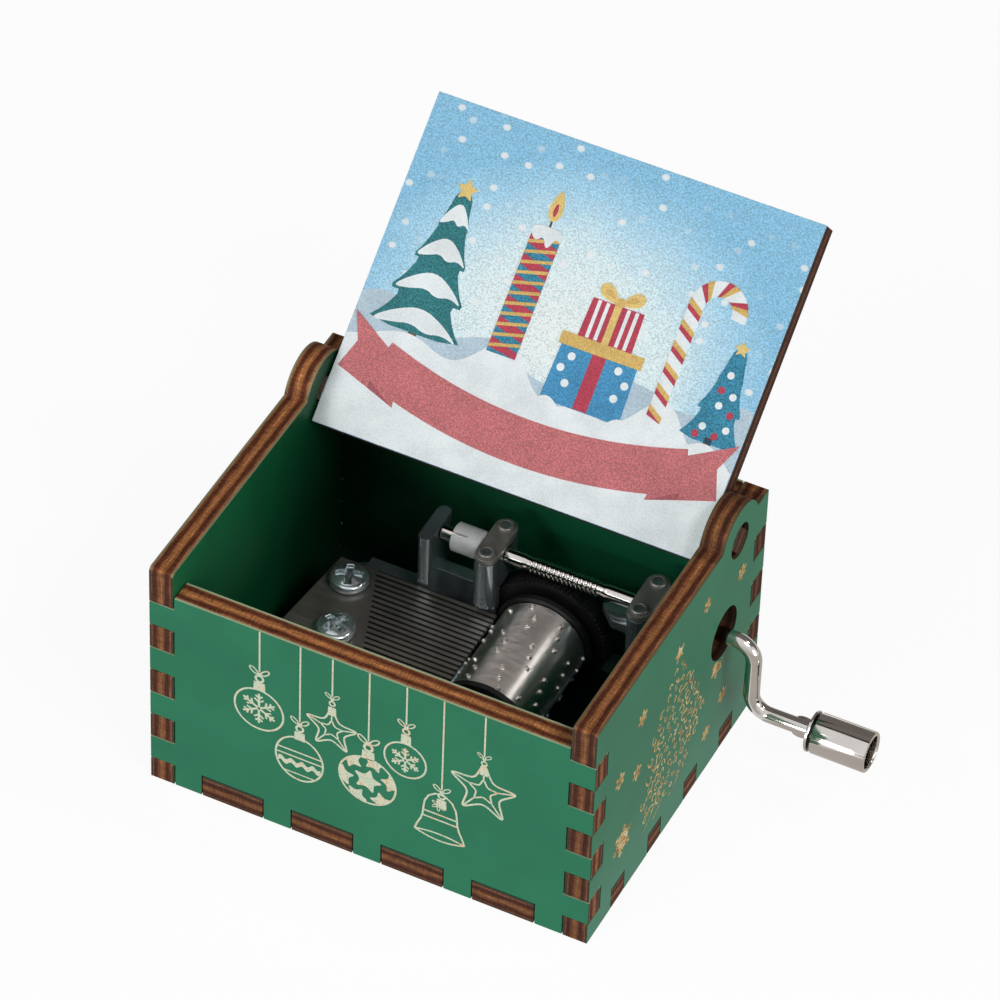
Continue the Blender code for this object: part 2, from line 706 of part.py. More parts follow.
def slot_loop(radius, top):
    """A slot with a round bottom about the shaft, open upwards, as (y, z) pairs."""
    return arc(SHAFT_Y, SHAFT_Z, radius, 180, 360, 12) + [(SHAFT_Y + radius, top), (SHAFT_Y - radius, top)]


def bearing_loop(low):
    """A round-topped lug about the drum's axis, as (x, z) pairs."""
    top = arc(DRUM_X, DRUM_Z, BEARING_RADIUS, 0, 180, 12)
    return top + [(DRUM_X - BEARING_RADIUS, low), (DRUM_X + BEARING_RADIUS, low)]


def cap_front_y():
    return DRUM_FRONT_Y - SEAT_GAP - CAP_FLANGE


def bearing_spans():
    """The two lugs along Y: in front of the front cap, and behind the worm wheel."""
    front = cap_front_y() - BEARING_GAP
    rear = WHEEL_REAR_Y + BEARING_GAP
    return (front - BEARING_THICKNESS, front), (rear, rear + BEARING_THICKNESS)


def rivet_profile():
    """A staked pip: it rises from the post through the strap and spreads into a dimpled head."""
    seat = STRAP_TOP_Z + SEAT_GAP / 2
    head = seat + RIVET_HEAD_HEIGHT
    sunk = 1.0 * MM
    return [
        (0.0, head - 0.12 * MM),
        (RIVET_HEAD_RADIUS * 0.45, head - 0.1 * MM),
        (RIVET_HEAD_RADIUS * 0.65, head),
        (RIVET_HEAD_RADIUS * 0.85, head - 0.03 * MM),
        (RIVET_HEAD_RADIUS, head - 0.15 * MM),
        (RIVET_HEAD_RADIUS, seat),
        (RIVET_RADIUS, seat),
        (RIVET_RADIUS, POST_TOP_Z - sunk),
        (0.0, POST_TOP_Z - sunk),
    ]


def make_frame():
    """The zinc casting: bed with a window under the drum, boss, posts, stop slab, web, lugs and pips."""
    front_lug, rear_lug = bearing_spans()
    window = round_rectangle(
        DRUM_X - WHEEL_TIP_RADIUS - WINDOW_GAP,
        DRUM_X + WHEEL_TIP_RADIUS + WINDOW_GAP,
        cap_front_y() - BEARING_GAP / 2,
        WHEEL_REAR_Y + BEARING_GAP / 2,
        BED_ROUND / 2,
    )
    bed = round_rectangle(BED_LEFT_X, BED_RIGHT_X, BED_FRONT_Y, BED_REAR_Y, BED_ROUND)
    sheet = sheet_mesh("movement_frame", [bed, window], BED_Z, BED_TOP_Z)
    frame = part("movement_frame", sheet, "zinc_casting")
    low = BED_Z + BED_THICKNESS / 2

    boss = sheet_mesh("comb_boss", [boss_loop()], low, COMB_BOTTOM_Z - SEAT_GAP)
    join(frame, helper("comb_boss", boss))
    lug_left = ROOT_REAR_X - 2 * BOSS_MARGIN
    lug_low = (lug_left, COMB_REAR_Y - BOSS_MARGIN, low)
    lug = box_mesh("comb_lug", lug_low, (STOP_SLAB_X, LUG_REAR_Y, LUG_TOP_Z))
    join(frame, helper("comb_lug", lug))

    slab = stadium(STOP_SLAB_X, SHAFT_Y, STOP_SLAB_WIDTH, STOP_SLAB_LENGTH)
    join(frame, helper("stop_slab", sheet_mesh("stop_slab", [slab], low, SHAFT_Z + STOP_SLAB_ABOVE_SHAFT)))
    wall = box_mesh(
        "low_wall",
        (STOP_SLAB_X, SHAFT_Y - WALL_THICKNESS / 2, low),
        (LEFT_POST_X, SHAFT_Y + WALL_THICKNESS / 2, WALL_TOP_Z),
    )
    join(frame, helper("low_wall", wall))
    for side, x in (("left", LEFT_POST_X), ("right", RIGHT_POST_X)):
        post = stadium(x, SHAFT_Y, POST_WIDTH, POST_LENGTH)
        join(frame, helper(f"{side}_post", sheet_mesh(f"{side}_post", [post], low, POST_TOP_Z)))
        for end in (-1, 1):
            name = f"{side}_pip_{'rear' if end > 0 else 'front'}"
            centre = (x, SHAFT_Y + end * RIVET_SPACING / 2, 0)
            join(frame, helper(name, turned_along(name, rivet_profile(), 16, (0, 0, 1), centre)))
    post_face = RIGHT_POST_X - POST_WIDTH / 2
    tip = post_face - GUSSET_REACH
    gusset = [
        (RIGHT_POST_X, SHAFT_Y - GUSSET_HALF_WIDTH),
        (RIGHT_POST_X, SHAFT_Y + GUSSET_HALF_WIDTH),
        (tip + GUSSET_HALF_WIDTH, SHAFT_Y + GUSSET_HALF_WIDTH),
        (tip, SHAFT_Y),
        (tip + GUSSET_HALF_WIDTH, SHAFT_Y - GUSSET_HALF_WIDTH),
    ]
    web = sheet_mesh("right_web", [gusset], GUSSET_TOP_Z - GUSSET_THICKNESS, GUSSET_TOP_Z)
    join(frame, helper("right_web", web))
    for side, (start, end) in (("front", front_lug), ("rear", rear_lug)):
        bearing = sheet_mesh(f"{side}_bearing", [bearing_loop(low)], start, end, "Y")
        join(frame, helper(f"{side}_bearing", bearing))
        beyond = 1.0 * MM
        bore = cylinder_mesh(
            f"{side}_bore",
            ARBOR_RADIUS + RUNNING_GAP,
            start - beyond,
            end + beyond,
            24,
            (0, 1, 0),
            (DRUM_X, 0, DRUM_Z),
        )
        cut(frame, helper(f"{side}_bore", bore))

    under = (COMB_LEFT_FRONT_X - COMB_TO_POSTS, COMB_FRONT_Y - COMB_TO_POSTS, COMB_BOTTOM_Z - SEAT_GAP)
    over = (TOOTH_TIP_X + COMB_TO_POSTS, COMB_REAR_Y + COMB_TO_POSTS, COMB_TOP_Z + COMB_HEADROOM)
    cut(frame, helper("comb_space", box_mesh("comb_space", under, over)))
    clear_radius = WHEEL_TIP_RADIUS + BEARING_GAP
    pocket = cylinder_mesh(
        "wheel_pocket",
        clear_radius,
        WHEEL_FRONT_Y - BEARING_GAP,
        WHEEL_REAR_Y + BEARING_GAP,
        64,
        (0, 1, 0),
        (DRUM_X, 0, DRUM_Z),
    )
    cut(frame, helper("wheel_pocket", pocket))
    top = POST_TOP_Z + 1.0 * MM
    for side, x in (("left", LEFT_POST_X), ("right", RIGHT_POST_X)):
        loop = slot_loop(ROD_RADIUS + RUNNING_GAP, top)
        slot = sheet_mesh(f"{side}_slot", [loop], x - POST_WIDTH, x + POST_WIDTH, "X")
        cut(frame, helper(f"{side}_slot", slot))
    for place, (x, y) in COMB_SCREWS.items():
        radius = SCREW_SHANK_RADIUS + SCREW_CLEARANCE
        depth = COMB_BOTTOM_Z - SCREW_LENGTH
        hole = cylinder_mesh(f"comb_hole_{place}", radius, depth, COMB_TOP_Z, 20, (0, 0, 1), (x, y, 0))
        cut(frame, helper(f"comb_hole_{place}", hole))
    for i, (x, y) in enumerate(BASE_SCREWS):
        radius = BASE_SCREW_RADIUS + SCREW_CLEARANCE
        high = BASE_SCREW_LENGTH + SCREW_CLEARANCE + SEAT_GAP
        hole = cylinder_mesh(f"frame_hole_{i}", radius, 0.0, high, 16, (0, 0, 1), (x, y, 0))
        cut(frame, helper(f"frame_hole_{i}", hole))


def make_straps():
    for side, x in (("left", LEFT_POST_X), ("right", RIGHT_POST_X)):
        hole = RIVET_RADIUS + RUNNING_GAP
        holes = [circle(x, SHAFT_Y + end * RIVET_SPACING / 2, hole, 16) for end in (-1, 1)]
        loops = [stadium(x, SHAFT_Y, STRAP_WIDTH, STRAP_LENGTH), *holes]
        mesh = sheet_mesh(f"{side}_strap", loops, STRAP_Z, STRAP_TOP_Z)
        part(f"{side}_strap", mesh, "strap_steel")


def crank_route():
    """The rod's axis as (x, z, radius) about the shaft's axis, from its left end to the knob."""
    neck = 0.25 * MM
    route = [
        (SHAFT_LEFT_X, 0.0, ROD_RADIUS),
        (WORM_START_X - neck, 0.0, ROD_RADIUS),
        (WORM_START_X, 0.0, WORM_ROOT_RADIUS),
        (WORM_END_X, 0.0, WORM_ROOT_RADIUS),
        (WORM_END_X + neck, 0.0, ROD_RADIUS),
    ]
    first = arc(ARM_X - BEND_RADIUS, -BEND_RADIUS, BEND_RADIUS, 90, 0, 8)
    second = arc(ARM_X + BEND_RADIUS, BEND_RADIUS - ARM_LENGTH, BEND_RADIUS, 180, 270, 8)
    route += [(x, z, ROD_RADIUS) for x, z in first + second]
    route.append((ROD_END_X - PEEN_LENGTH / 2, -ARM_LENGTH, ROD_RADIUS))
    return route


def wire(name, points, radius, resolution, radii=None):
    """A round bar along a POLY curve with filled caps."""
    data = bpy.data.curves.new(name, "CURVE")
    data.dimensions = "3D"
    data.bevel_depth = radius
    data.bevel_resolution = resolution
    data.use_fill_caps = True
    spline = data.splines.new("POLY")
    spline.points.add(len(points) - 1)
    for i, (point, place) in enumerate(zip(spline.points, points)):
        point.co = (*place, 1.0)
        point.radius = radii[i] / radius if radii else 1.0
    return data


def worm_points():
    """The thread's helix: right-handed, with a wheel tooth midway between two ridges under the shaft."""
    per_turn = 14
    centre = THREAD_CREST_RADIUS - THREAD_WIRE_RADIUS
    first = math.ceil((WORM_START_X - DRUM_X) / WORM_PITCH * per_turn)
    last = math.floor((WORM_END_X - DRUM_X) / WORM_PITCH * per_turn)
    points = []
    for i in range(first, last + 1):
        turn = 2 * math.pi * (i / per_turn - 0.5) - math.pi / 2
        x = DRUM_X + WORM_PITCH * i / per_turn
        points.append((x, centre * math.cos(turn), centre * math.sin(turn)))
    return points


def make_crank():
    """The bent rod with its rolled worm, its two crimped ears and its peened end, about the shaft's axis."""
    route = crank_route()
    points = [(x, 0.0, z) for x, z, _ in route]
    rod = as_mesh("crank_shaft", wire("crank_rod", points, ROD_RADIUS, 6, [row[2] for row in route]))
    shaft = part("crank_shaft", rod, "nickel_plate", smooth=True)
    shaft.location = (0, SHAFT_Y, SHAFT_Z)
    place = Matrix.Translation((0, SHAFT_Y, SHAFT_Z))

    thread = as_mesh("worm_thread", wire("worm_wire", worm_points(), THREAD_WIRE_RADIUS, 0))
    thread.transform(place)
    join(shaft, helper("worm_thread", thread))

    middle = KNOB_X - SEAT_GAP - EAR_LENGTH / 2
    half = Vector((EAR_LENGTH / 2, EAR_REACH, EAR_WIDTH / 2))
    ears = box_mesh("crimped_ears", -half, half)
    ears.transform(Matrix.Translation((middle, SHAFT_Y, KNOB_Z)) @ Matrix.Rotation(EAR_TURN, 4, "X"))
    join(shaft, helper("crimped_ears", ears))

    start = ROD_END_X - PEEN_LENGTH
    profile = [
        (0.0, ROD_END_X),
        (PEEN_RADIUS * 0.7, ROD_END_X),
        (PEEN_RADIUS, ROD_END_X - PEEN_LENGTH * 0.4),
        (PEEN_RADIUS, start),
        (0.0, start),
    ]
    peen = turned_along("peened_end", profile, 20, (1, 0, 0), (0, SHAFT_Y, KNOB_Z))
    join(shaft, helper("peened_end", peen))


def make_bush():
    """Split plastic bush: a sleeve with a slot from its left end to the bore, pressed on the shaft."""
    bore = ROD_RADIUS + RUNNING_GAP
    edge = 0.2 * MM
    profile = [
        (bore, BUSH_RIGHT_X),
        (BUSH_RADIUS - edge, BUSH_RIGHT_X),
        (BUSH_RADIUS, BUSH_RIGHT_X - edge),
        (BUSH_RADIUS, BUSH_LEFT_X + edge),
        (BUSH_RADIUS - edge, BUSH_LEFT_X),
        (bore, BUSH_LEFT_X),
    ]
    mesh = turned_along("shaft_bush", profile, 32, (1, 0, 0), (0, SHAFT_Y, SHAFT_Z))
    bush = part("shaft_bush", mesh, "white_plastic", smooth=True)
    beyond = 1.0 * MM
    low = (BUSH_LEFT_X - beyond, 0.0, -BUSH_SLOT_WIDTH / 2)
    high = (BUSH_LEFT_X + BUSH_SLOT_LENGTH, BUSH_RADIUS + beyond, BUSH_SLOT_WIDTH / 2)
    slot = box_mesh("bush_slot", low, high)
    slot.transform(Matrix.Translation((0, SHAFT_Y, SHAFT_Z)) @ Matrix.Rotation(BUSH_SLOT_TURN, 4, "X"))
    cut(bush, helper("bush_slot", slot))


def make_knob():
    """Hollow knob: a thin flange, a groove, then a barrel that is open at its outer end."""
    bore = ROD_RADIUS + RUNNING_GAP
    hollow = KNOB_RADIUS - KNOB_WALL
    groove = KNOB_RADIUS - KNOB_GROOVE_DEPTH
    floor = KNOB_X + KNOB_FLOOR
    edge = KNOB_END_ROUND
    profile = [
        (hollow, KNOB_END_X - edge),
        (hollow + edge, KNOB_END_X),
        (KNOB_RADIUS - edge, KNOB_END_X),
        (KNOB_RADIUS, KNOB_END_X - edge),
        (KNOB_RADIUS, KNOB_X + KNOB_FLANGE + KNOB_GROOVE),
        (groove, KNOB_X + KNOB_FLANGE + KNOB_GROOVE),
        (groove, KNOB_X + KNOB_FLANGE),
        (KNOB_RADIUS, KNOB_X + KNOB_FLANGE),
        (KNOB_RADIUS, KNOB_X),
        (bore, KNOB_X),
        (bore, floor),
        (hollow, floor),
    ]
    mesh = turned_along("crank_knob", profile, 40, (1, 0, 0), (0, 0, 0))
    knob = part("crank_knob", mesh, "nickel_plate", smooth=True)
    knob.location = (0, SHAFT_Y, KNOB_Z)


def pin_angles(track):
    """Angles of one track's pins: an even spread, shifted from track to track by an uneven step."""
    step = 360.0 / PINS_PER_TRACK
    shift = (track * 137.5) % step
    uneven = [12.0 * math.sin(2.1 * track + 1.7 * k) for k in range(PINS_PER_TRACK)]
    return [math.radians(shift + step * k + uneven[k]) for k in range(PINS_PER_TRACK)]


def pins_mesh():
    """All raised pins as one group of small cones that start inside the drum's wall."""
    whole = bmesh.new()
    sunk = DRUM_WALL / 2
    length = PIN_HEIGHT + sunk
    flare = (PIN_BASE_RADIUS - PIN_TIP_RADIUS) * sunk / PIN_HEIGHT
    for track in range(TEETH):
        y = COMB_REAR_Y - (track + 0.5) * TOOTH_PITCH
        for angle in pin_angles(track):
            made = bmesh.ops.create_cone(
                whole,
                cap_ends=True,
                segments=6,
                radius1=PIN_BASE_RADIUS + flare,
                radius2=PIN_TIP_RADIUS,
                depth=length,
            )
            out = Vector((math.cos(angle), 0.0, math.sin(angle)))
            turn = Vector((0, 0, 1)).rotation_difference(out).to_matrix().to_4x4()
            middle = out * (PIN_REACH - length / 2) + Vector((0, y, 0))
            bmesh.ops.transform(whole, matrix=Matrix.Translation(middle) @ turn, verts=made["verts"])
    mesh = bpy.data.meshes.new("drum_pins")
    whole.to_mesh(mesh)
    whole.free()
    return mesh


def make_drum():
    """Steel tube with raised pins, about the drum's axis."""
    inner = DRUM_RADIUS - DRUM_WALL
    profile = [
        (inner, DRUM_REAR_Y),
        (DRUM_RADIUS, DRUM_REAR_Y),
        (DRUM_RADIUS, DRUM_FRONT_Y),
        (inner, DRUM_FRONT_Y),
    ]
    tube = turned_along("pin_drum", profile, 72, (0, 1, 0), (0, 0, 0))
    drum = part("pin_drum", tube, "nickel_plate", smooth=True)
    drum.location = (DRUM_X, 0, DRUM_Z)
    pins = helper("drum_pins", pins_mesh())
    pins.location = drum.location
    join(drum, pins)


def wheel_loop():
    """Tooth outline of the worm wheel, with one tooth on the second axis, counter-clockwise."""
    loop = []
    for i in range(WHEEL_TEETH):
        middle = math.pi / 2 + 2 * math.pi * i / WHEEL_TEETH
        root = TOOTH_ROOT_WIDTH / 2 / WHEEL_ROOT_RADIUS
        tip = TOOTH_TIP_WIDTH / 2 / WHEEL_TIP_RADIUS
        for turn, radius in (
            (-root, WHEEL_ROOT_RADIUS),
            (-tip, WHEEL_TIP_RADIUS),
            (tip, WHEEL_TIP_RADIUS),
            (root, WHEEL_ROOT_RADIUS),
        ):
            loop.append((radius * math.cos(middle + turn), radius * math.sin(middle + turn)))
    return loop


def make_worm_wheel():
    """Black plastic, about the drum's axis: toothed wheel, neck, flange and a spigot in the drum."""
    mesh = sheet_mesh("worm_wheel", [wheel_loop()], -WHEEL_WIDTH / 2, WHEEL_WIDTH / 2, "Y")
    lead = WORM_PITCH / (2 * math.pi * (WHEEL_CENTRE_GAP - WHEEL_TIP_RADIUS)) / WHEEL_TIP_RADIUS
    for vertex in mesh.vertices:
        vertex.co = Matrix.Rotation(lead * vertex.co.y, 3, "Y") @ vertex.co
    mesh.transform(Matrix.Translation((0, SHAFT_Y, 0)))
    wheel = part("worm_wheel", mesh, "black_plastic")
    wheel.location = (DRUM_X, 0, DRUM_Z)
    spigot = DRUM_RADIUS - DRUM_WALL - SEAT_GAP
    flange = DRUM_REAR_Y + SEAT_GAP
    sunk = WHEEL_WIDTH / 2
    profile = [
        (0.0, WHEEL_FRONT_Y + sunk),
        (CAP_NECK_RADIUS, WHEEL_FRONT_Y + sunk),
        (CAP_NECK_RADIUS, flange + CAP_FLANGE),
        (CAP_FLANGE_RADIUS, flange + CAP_FLANGE),
        (CAP_FLANGE_RADIUS, flange),
        (spigot, flange),
        (spigot, DRUM_REAR_Y - CAP_SPIGOT),
        (0.0, DRUM_REAR_Y - CAP_SPIGOT),
    ]
    hub = helper("wheel_hub", turned_along("wheel_hub", profile, 48, (0, 1, 0), (DRUM_X, 0, DRUM_Z)))
    join(wheel, hub)
    beyond = 1.0 * MM
    bore = cylinder_mesh(
        "wheel_bore",
        ARBOR_RADIUS + RUNNING_GAP,
        DRUM_REAR_Y - CAP_SPIGOT - beyond,
        WHEEL_REAR_Y + beyond,
        24,
        (0, 1, 0),
        (DRUM_X, 0, DRUM_Z),
    )
    cut(wheel, helper("wheel_bore", bore))


def make_front_cap():
    """Black plastic cap in the drum's front end, about the drum's axis."""
    bore = ARBOR_RADIUS + RUNNING_GAP
    spigot = DRUM_RADIUS - DRUM_WALL - SEAT_GAP
    flange = DRUM_FRONT_Y - SEAT_GAP
    profile = [
        (bore, DRUM_FRONT_Y + CAP_SPIGOT),
        (spigot, DRUM_FRONT_Y + CAP_SPIGOT),
        (spigot, flange),
        (CAP_FLANGE_RADIUS, flange),
        (CAP_FLANGE_RADIUS, flange - CAP_FLANGE),
        (bore, flange - CAP_FLANGE),
    ]
    mesh = turned_along("drum_front_cap", profile, 48, (0, 1, 0), (0, 0, 0))
    cap = part("drum_front_cap", mesh, "black_plastic", smooth=True)
    cap.location = (DRUM_X, 0, DRUM_Z)


def make_arbor():
    """Steel pin through both lugs, which the drum's caps turn on."""
    front_lug, rear_lug = bearing_spans()
    edge = 0.2 * MM
    low = front_lug[0] - edge
    high = rear_lug[1] + edge
    profile = [
        (0.0, high),
        (ARBOR_RADIUS - edge, high),
        (ARBOR_RADIUS, high - edge),
        (ARBOR_RADIUS, low + edge),
        (ARBOR_RADIUS - edge, low),
        (0.0, low),
    ]
    mesh = turned_along("drum_arbor", profile, 24, (0, 1, 0), (0, 0, 0))
    arbor = part("drum_arbor", mesh, "bright_steel", smooth=True)
    arbor.location = (DRUM_X, 0, DRUM_Z)


clear_scene()
PARTS = new_collection("music_box")
CUTTERS = new_collection("cutters", helper=True)
MATERIALS = {name: new_material(name) for name in FINISHES}

make_case()
make_lid()
make_frame()
make_comb()
make_comb_weights()
make_comb_screws()
make_base_screws()
make_straps()
make_crank()
make_bush()
make_knob()
make_drum()
make_worm_wheel()
make_front_cap()
make_arbor()
bpy.context.view_layer.update()
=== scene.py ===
# %% [markdown]
# # A hand-cranked music box
# A small plywood box, painted green, holds an eighteen-note movement. Its solids are already modelled and
# packed. This lesson dresses them: the plywood's cut edges, the paint, the engraved ornaments, the print on
# the lid, and the metal of the movement. Blender counts in metres, so a size in millimetres is multiplied by
# MM somewhere on its way into a mesh. The box stands on z = 0.

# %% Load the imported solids
import math

import bmesh
import bpy
import numpy as np
from mathutils import Matrix, Vector


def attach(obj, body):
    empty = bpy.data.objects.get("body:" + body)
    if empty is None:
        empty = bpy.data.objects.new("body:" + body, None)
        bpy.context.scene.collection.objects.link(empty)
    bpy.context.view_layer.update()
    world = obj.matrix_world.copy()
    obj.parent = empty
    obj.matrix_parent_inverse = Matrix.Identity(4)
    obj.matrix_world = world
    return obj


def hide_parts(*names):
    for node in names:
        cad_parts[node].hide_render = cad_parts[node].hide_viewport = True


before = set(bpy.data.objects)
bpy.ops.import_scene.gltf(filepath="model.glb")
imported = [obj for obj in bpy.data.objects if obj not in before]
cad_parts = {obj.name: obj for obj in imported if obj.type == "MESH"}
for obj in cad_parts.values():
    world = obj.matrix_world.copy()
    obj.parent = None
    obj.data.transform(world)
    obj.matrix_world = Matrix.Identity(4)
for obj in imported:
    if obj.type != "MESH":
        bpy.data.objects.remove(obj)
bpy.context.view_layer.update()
MM = 0.001

# %% [markdown]
# ## The camera
# The photograph was taken from the front, a little to the right, with a long lens from above. The camera's
# place comes from a fit of the case's corners: azimuth, elevation and roll in degrees, then distance and lens.

# %% Camera at the photograph's viewing angle
AZIMUTH, ELEVATION, ROLL = 25.0438, 43.7236, 2.2378
DISTANCE = 858.730 * MM
TARGET = Vector((5.343, 0.0, 45.766)) * MM
FOCAL_PIXELS, PHOTO_PIXELS = 6710.345, 1000.0
SENSOR = 36.0


def toward(azimuth, elevation):
    """The direction from the box to a place seen at an azimuth and an elevation in degrees."""
    a, e = math.radians(azimuth), math.radians(elevation)
    return Vector((math.sin(a) * math.cos(e), -math.cos(a) * math.cos(e), math.sin(e)))


back = toward(AZIMUTH, ELEVATION)
roll = math.radians(ROLL)
level = (-back).cross(Vector((0, 0, 1))).normalized()
upright = level.cross(-back)
right = level * math.cos(roll) + upright * math.sin(roll)
up = upright * math.cos(roll) - level * math.sin(roll)
camera = bpy.data.objects.new("camera", bpy.data.cameras.new("camera"))
camera.data.sensor_width = SENSOR
camera.data.lens = FOCAL_PIXELS / PHOTO_PIXELS * SENSOR
camera.data.clip_start, camera.data.clip_end = 0.05, 20.0
camera.matrix_world = Matrix.Translation(TARGET + back * DISTANCE) @ Matrix((right, up, back)).transposed().to_4x4()
bpy.context.scene.collection.objects.link(camera)
bpy.context.scene.camera = camera
bpy.context.scene.view_settings.view_transform = "Standard"
print("lens:", round(camera.data.lens, 2), "mm")

# %% [markdown]
# ## A kit for finishes
# Every finish is a small network of nodes that reads a point's place on the object. A few short names for the
# nodes keep such networks readable: a noise, a ramp from a value to a colour, a product, a bump.


# %% Short names for nodes
class Nodes:
    """A tree of nodes with short names for the kinds that the finishes use."""

    def __init__(self, tree):
        self.tree = tree

    def feed(self, socket, value):
        """Link a socket to an output or set it to a value; None leaves it as it is."""
        if isinstance(value, bpy.types.NodeSocket):
            self.tree.links.new(value, socket)
        elif value is not None:
            socket.default_value = value

    def node(self, kind, *inputs, **settings):
        """A node of a kind, with its first inputs linked or set in order; gives its first output."""
        made = self.tree.nodes.new("ShaderNode" + kind)
        for key, value in settings.items():
            setattr(made, key, value)
        for socket, value in zip(made.inputs, inputs):
            self.feed(socket, value)
        return made.outputs[0]

    def math(self, operation, *values):
        return self.node("Math", *values, operation=operation)

    def vector(self, operation, *values):
        """Arithmetic on vectors or colours; a length or a distance comes out as one number."""
        made = self.node("VectorMath", *values, operation=operation).node
        return made.outputs["Value" if operation in ("LENGTH", "DISTANCE") else "Vector"]

    def parts(self, vector):
        """The outputs X, Y and Z of a vector."""
        return self.node("SeparateXYZ", vector).node.outputs

    def seen(self):
        """One for rays from the camera, a mirror or glass, and nought for rays that light dull surfaces."""
        path = self.node("LightPath").node.outputs
        flag = self.math("MAXIMUM", path["Is Camera Ray"], path["Is Glossy Ray"])
        return self.math("MAXIMUM", flag, path["Is Transmission Ray"])

    def mix(self, share, first, second):
        """A colour between two colours."""
        made = self.node("Mix", data_type="RGBA").node
        self.feed(made.inputs["Factor"], share)
        for name, value in (("A", first), ("B", second)):
            socket = next(s for s in made.inputs if s.name == name and s.type == "RGBA")
            self.feed(socket, (*value, 1.0) if isinstance(value, tuple) else value)
        return next(s for s in made.outputs if s.type == "RGBA")

    def ramp(self, value, stops):
        """A colour or a grey read from stops of (position, colour or grey)."""
        made = self.node("ValToRGB", value).node
        elements = made.color_ramp.elements
        for place, _ in stops[2:]:
            elements.new(place)
        for element, (place, colour) in zip(elements, stops):
            element.position = place
            element.color = (*colour, 1.0) if isinstance(colour, tuple) else (colour, colour, colour, 1.0)
        return made.outputs[0]

    def noise(self, vector, scale, detail, roughness):
        return self.node("TexNoise", vector, None, scale, detail, roughness)

    def stirred(self, value, noise, amount):
        """A value moved to and fro by a noise."""
        return self.math("ADD", value, self.math("MULTIPLY", self.math("SUBTRACT", noise, 0.5), amount))


class Finish(Nodes):
    """A material with one Principled shader."""

    def __init__(self, name, colour, roughness, metallic=0.0):
        self.material = bpy.data.materials.new(name)
        self.material.use_nodes = True
        super().__init__(self.material.node_tree)
        self.shader = self.tree.nodes["Principled BSDF"]
        self.set("Base Color", (*colour, 1.0))
        self.set("Roughness", roughness)
        self.set("Metallic", metallic)
        self.place = self.node("TexCoord").node.outputs["Object"]

    def set(self, name, value):
        self.feed(self.shader.inputs[name], value)

    def show(self, surface):
        """Another shader on the surface than the Principled one."""
        self.feed(self.tree.nodes["Material Output"].inputs["Surface"], surface)

    def tint(self, factor):
        """The base colour so far, multiplied by a factor."""
        plain = self.shader.inputs["Base Color"].links[0].from_socket
        self.set("Base Color", self.vector("MULTIPLY", plain, factor))

    def bump(self, height, strength, distance):
        made = self.tree.nodes.new("ShaderNodeBump")
        for name, value in (("Strength", strength), ("Distance", distance), ("Height", height)):
            self.feed(made.inputs[name], value)
        self.set("Normal", made.outputs[0])


def levels(colour, *pairs):
    """Stops of a ramp: one colour, with a strength for each place."""
    return [(place, tuple(strength * v for v in colour)) for place, strength in pairs]


print("levels of a grey:", levels((0.5, 0.5, 0.5), (0.3, 0.9), (0.7, 1.1)))

# %% [markdown]
# ## Floor, surroundings and lamps
# The box stands on a plain pale floor in a white studio. The floor looks white because its colour is white to
# the camera, and not because more light falls on the box. Metal sees the same white room, so the world is
# white to mirror and glass rays too, and much dimmer to the rays that light dull surfaces.

# %% Floor, world and lamps
FLOOR_HALF = 3.0
FLOOR_GLOW, FLOOR_SHARE = 1.06, 0.87
DULL_ROOM, WHITE_ROOM = 0.10, 1.0


def sheet(name, finish, sides, near, far):
    """A flat sheet of the studio between two values of x, from one (y, z) to another."""
    mesh = bpy.data.meshes.new(name)
    corners = [(sides[0], *near), (sides[1], *near), (sides[1], *far), (sides[0], *far)]
    mesh.from_pydata(corners, [], [(0, 1, 2, 3)])
    mesh.materials.append(finish.material)
    made = bpy.data.objects.new(name, mesh)
    bpy.context.scene.collection.objects.link(made)
    return made


def pale_floor():
    """White paper: its lit colour to the room, and for the camera the light on it against full light."""
    made = Finish("pale_floor", (0.86, 0.86, 0.86), 0.9)
    made.set("Specular IOR Level", 0.1)
    glow = made.node("Emission", (1.0, 1.0, 1.0, 1.0), FLOOR_GLOW)
    share = made.math("MULTIPLY", made.seen(), FLOOR_SHARE)
    made.show(made.node("MixShader", share, made.shader.outputs[0], glow))
    return made


floor = sheet("floor", pale_floor(), (-FLOOR_HALF, FLOOR_HALF), (-FLOOR_HALF, 0), (FLOOR_HALF, 0))

world = bpy.data.worlds.new("studio")
world.use_nodes = True
bpy.context.scene.world = world
room = Nodes(world.node_tree)
sky = room.tree.nodes["Background"].inputs
room.feed(sky["Color"], (1.0, 1.0, 1.0, 1.0))
room.feed(sky["Strength"], room.node("MapRange", room.seen(), None, None, DULL_ROOM, WHITE_ROOM))


def soft_box(name, azimuth, elevation, distance, size, power):
    """A square lamp that looks at the box from an azimuth and an elevation in degrees."""
    lamp = bpy.data.lights.new(name, "AREA")
    lamp.size = size
    lamp.energy = power
    made = bpy.data.objects.new(name, lamp)
    made.rotation_mode = "QUATERNION"
    made.rotation_quaternion = toward(azimuth, elevation).to_track_quat("Z", "Y")
    made.location = TARGET + toward(azimuth, elevation) * distance
    bpy.context.scene.collection.objects.link(made)


soft_box("front_lamp", -14, 9, 1.2, 0.42, 6.8)
soft_box("right_lamp", 76, 9, 1.2, 0.42, 4.9)
soft_box("high_lamp", 58, 46, 1.0, 0.3, 1.7)
soft_box("left_lamp", -40, 36, 1.1, 0.3, 1.6)
soft_box("rear_lamp", 113, 50, 1.0, 0.13, 1.1)

# %% [markdown]
# Polished metal shows what stands round it. A photographer's dark cards are set up behind, overhead and low in
# front, and a grey one lies beside the box under the knob: the nickel mirrors them as brown-grey bands and
# thin dark lines between white ones. Only mirror rays see the cards.

# %% Dark cards for the mirrors
ROOM_SIDES = (-4, 4)


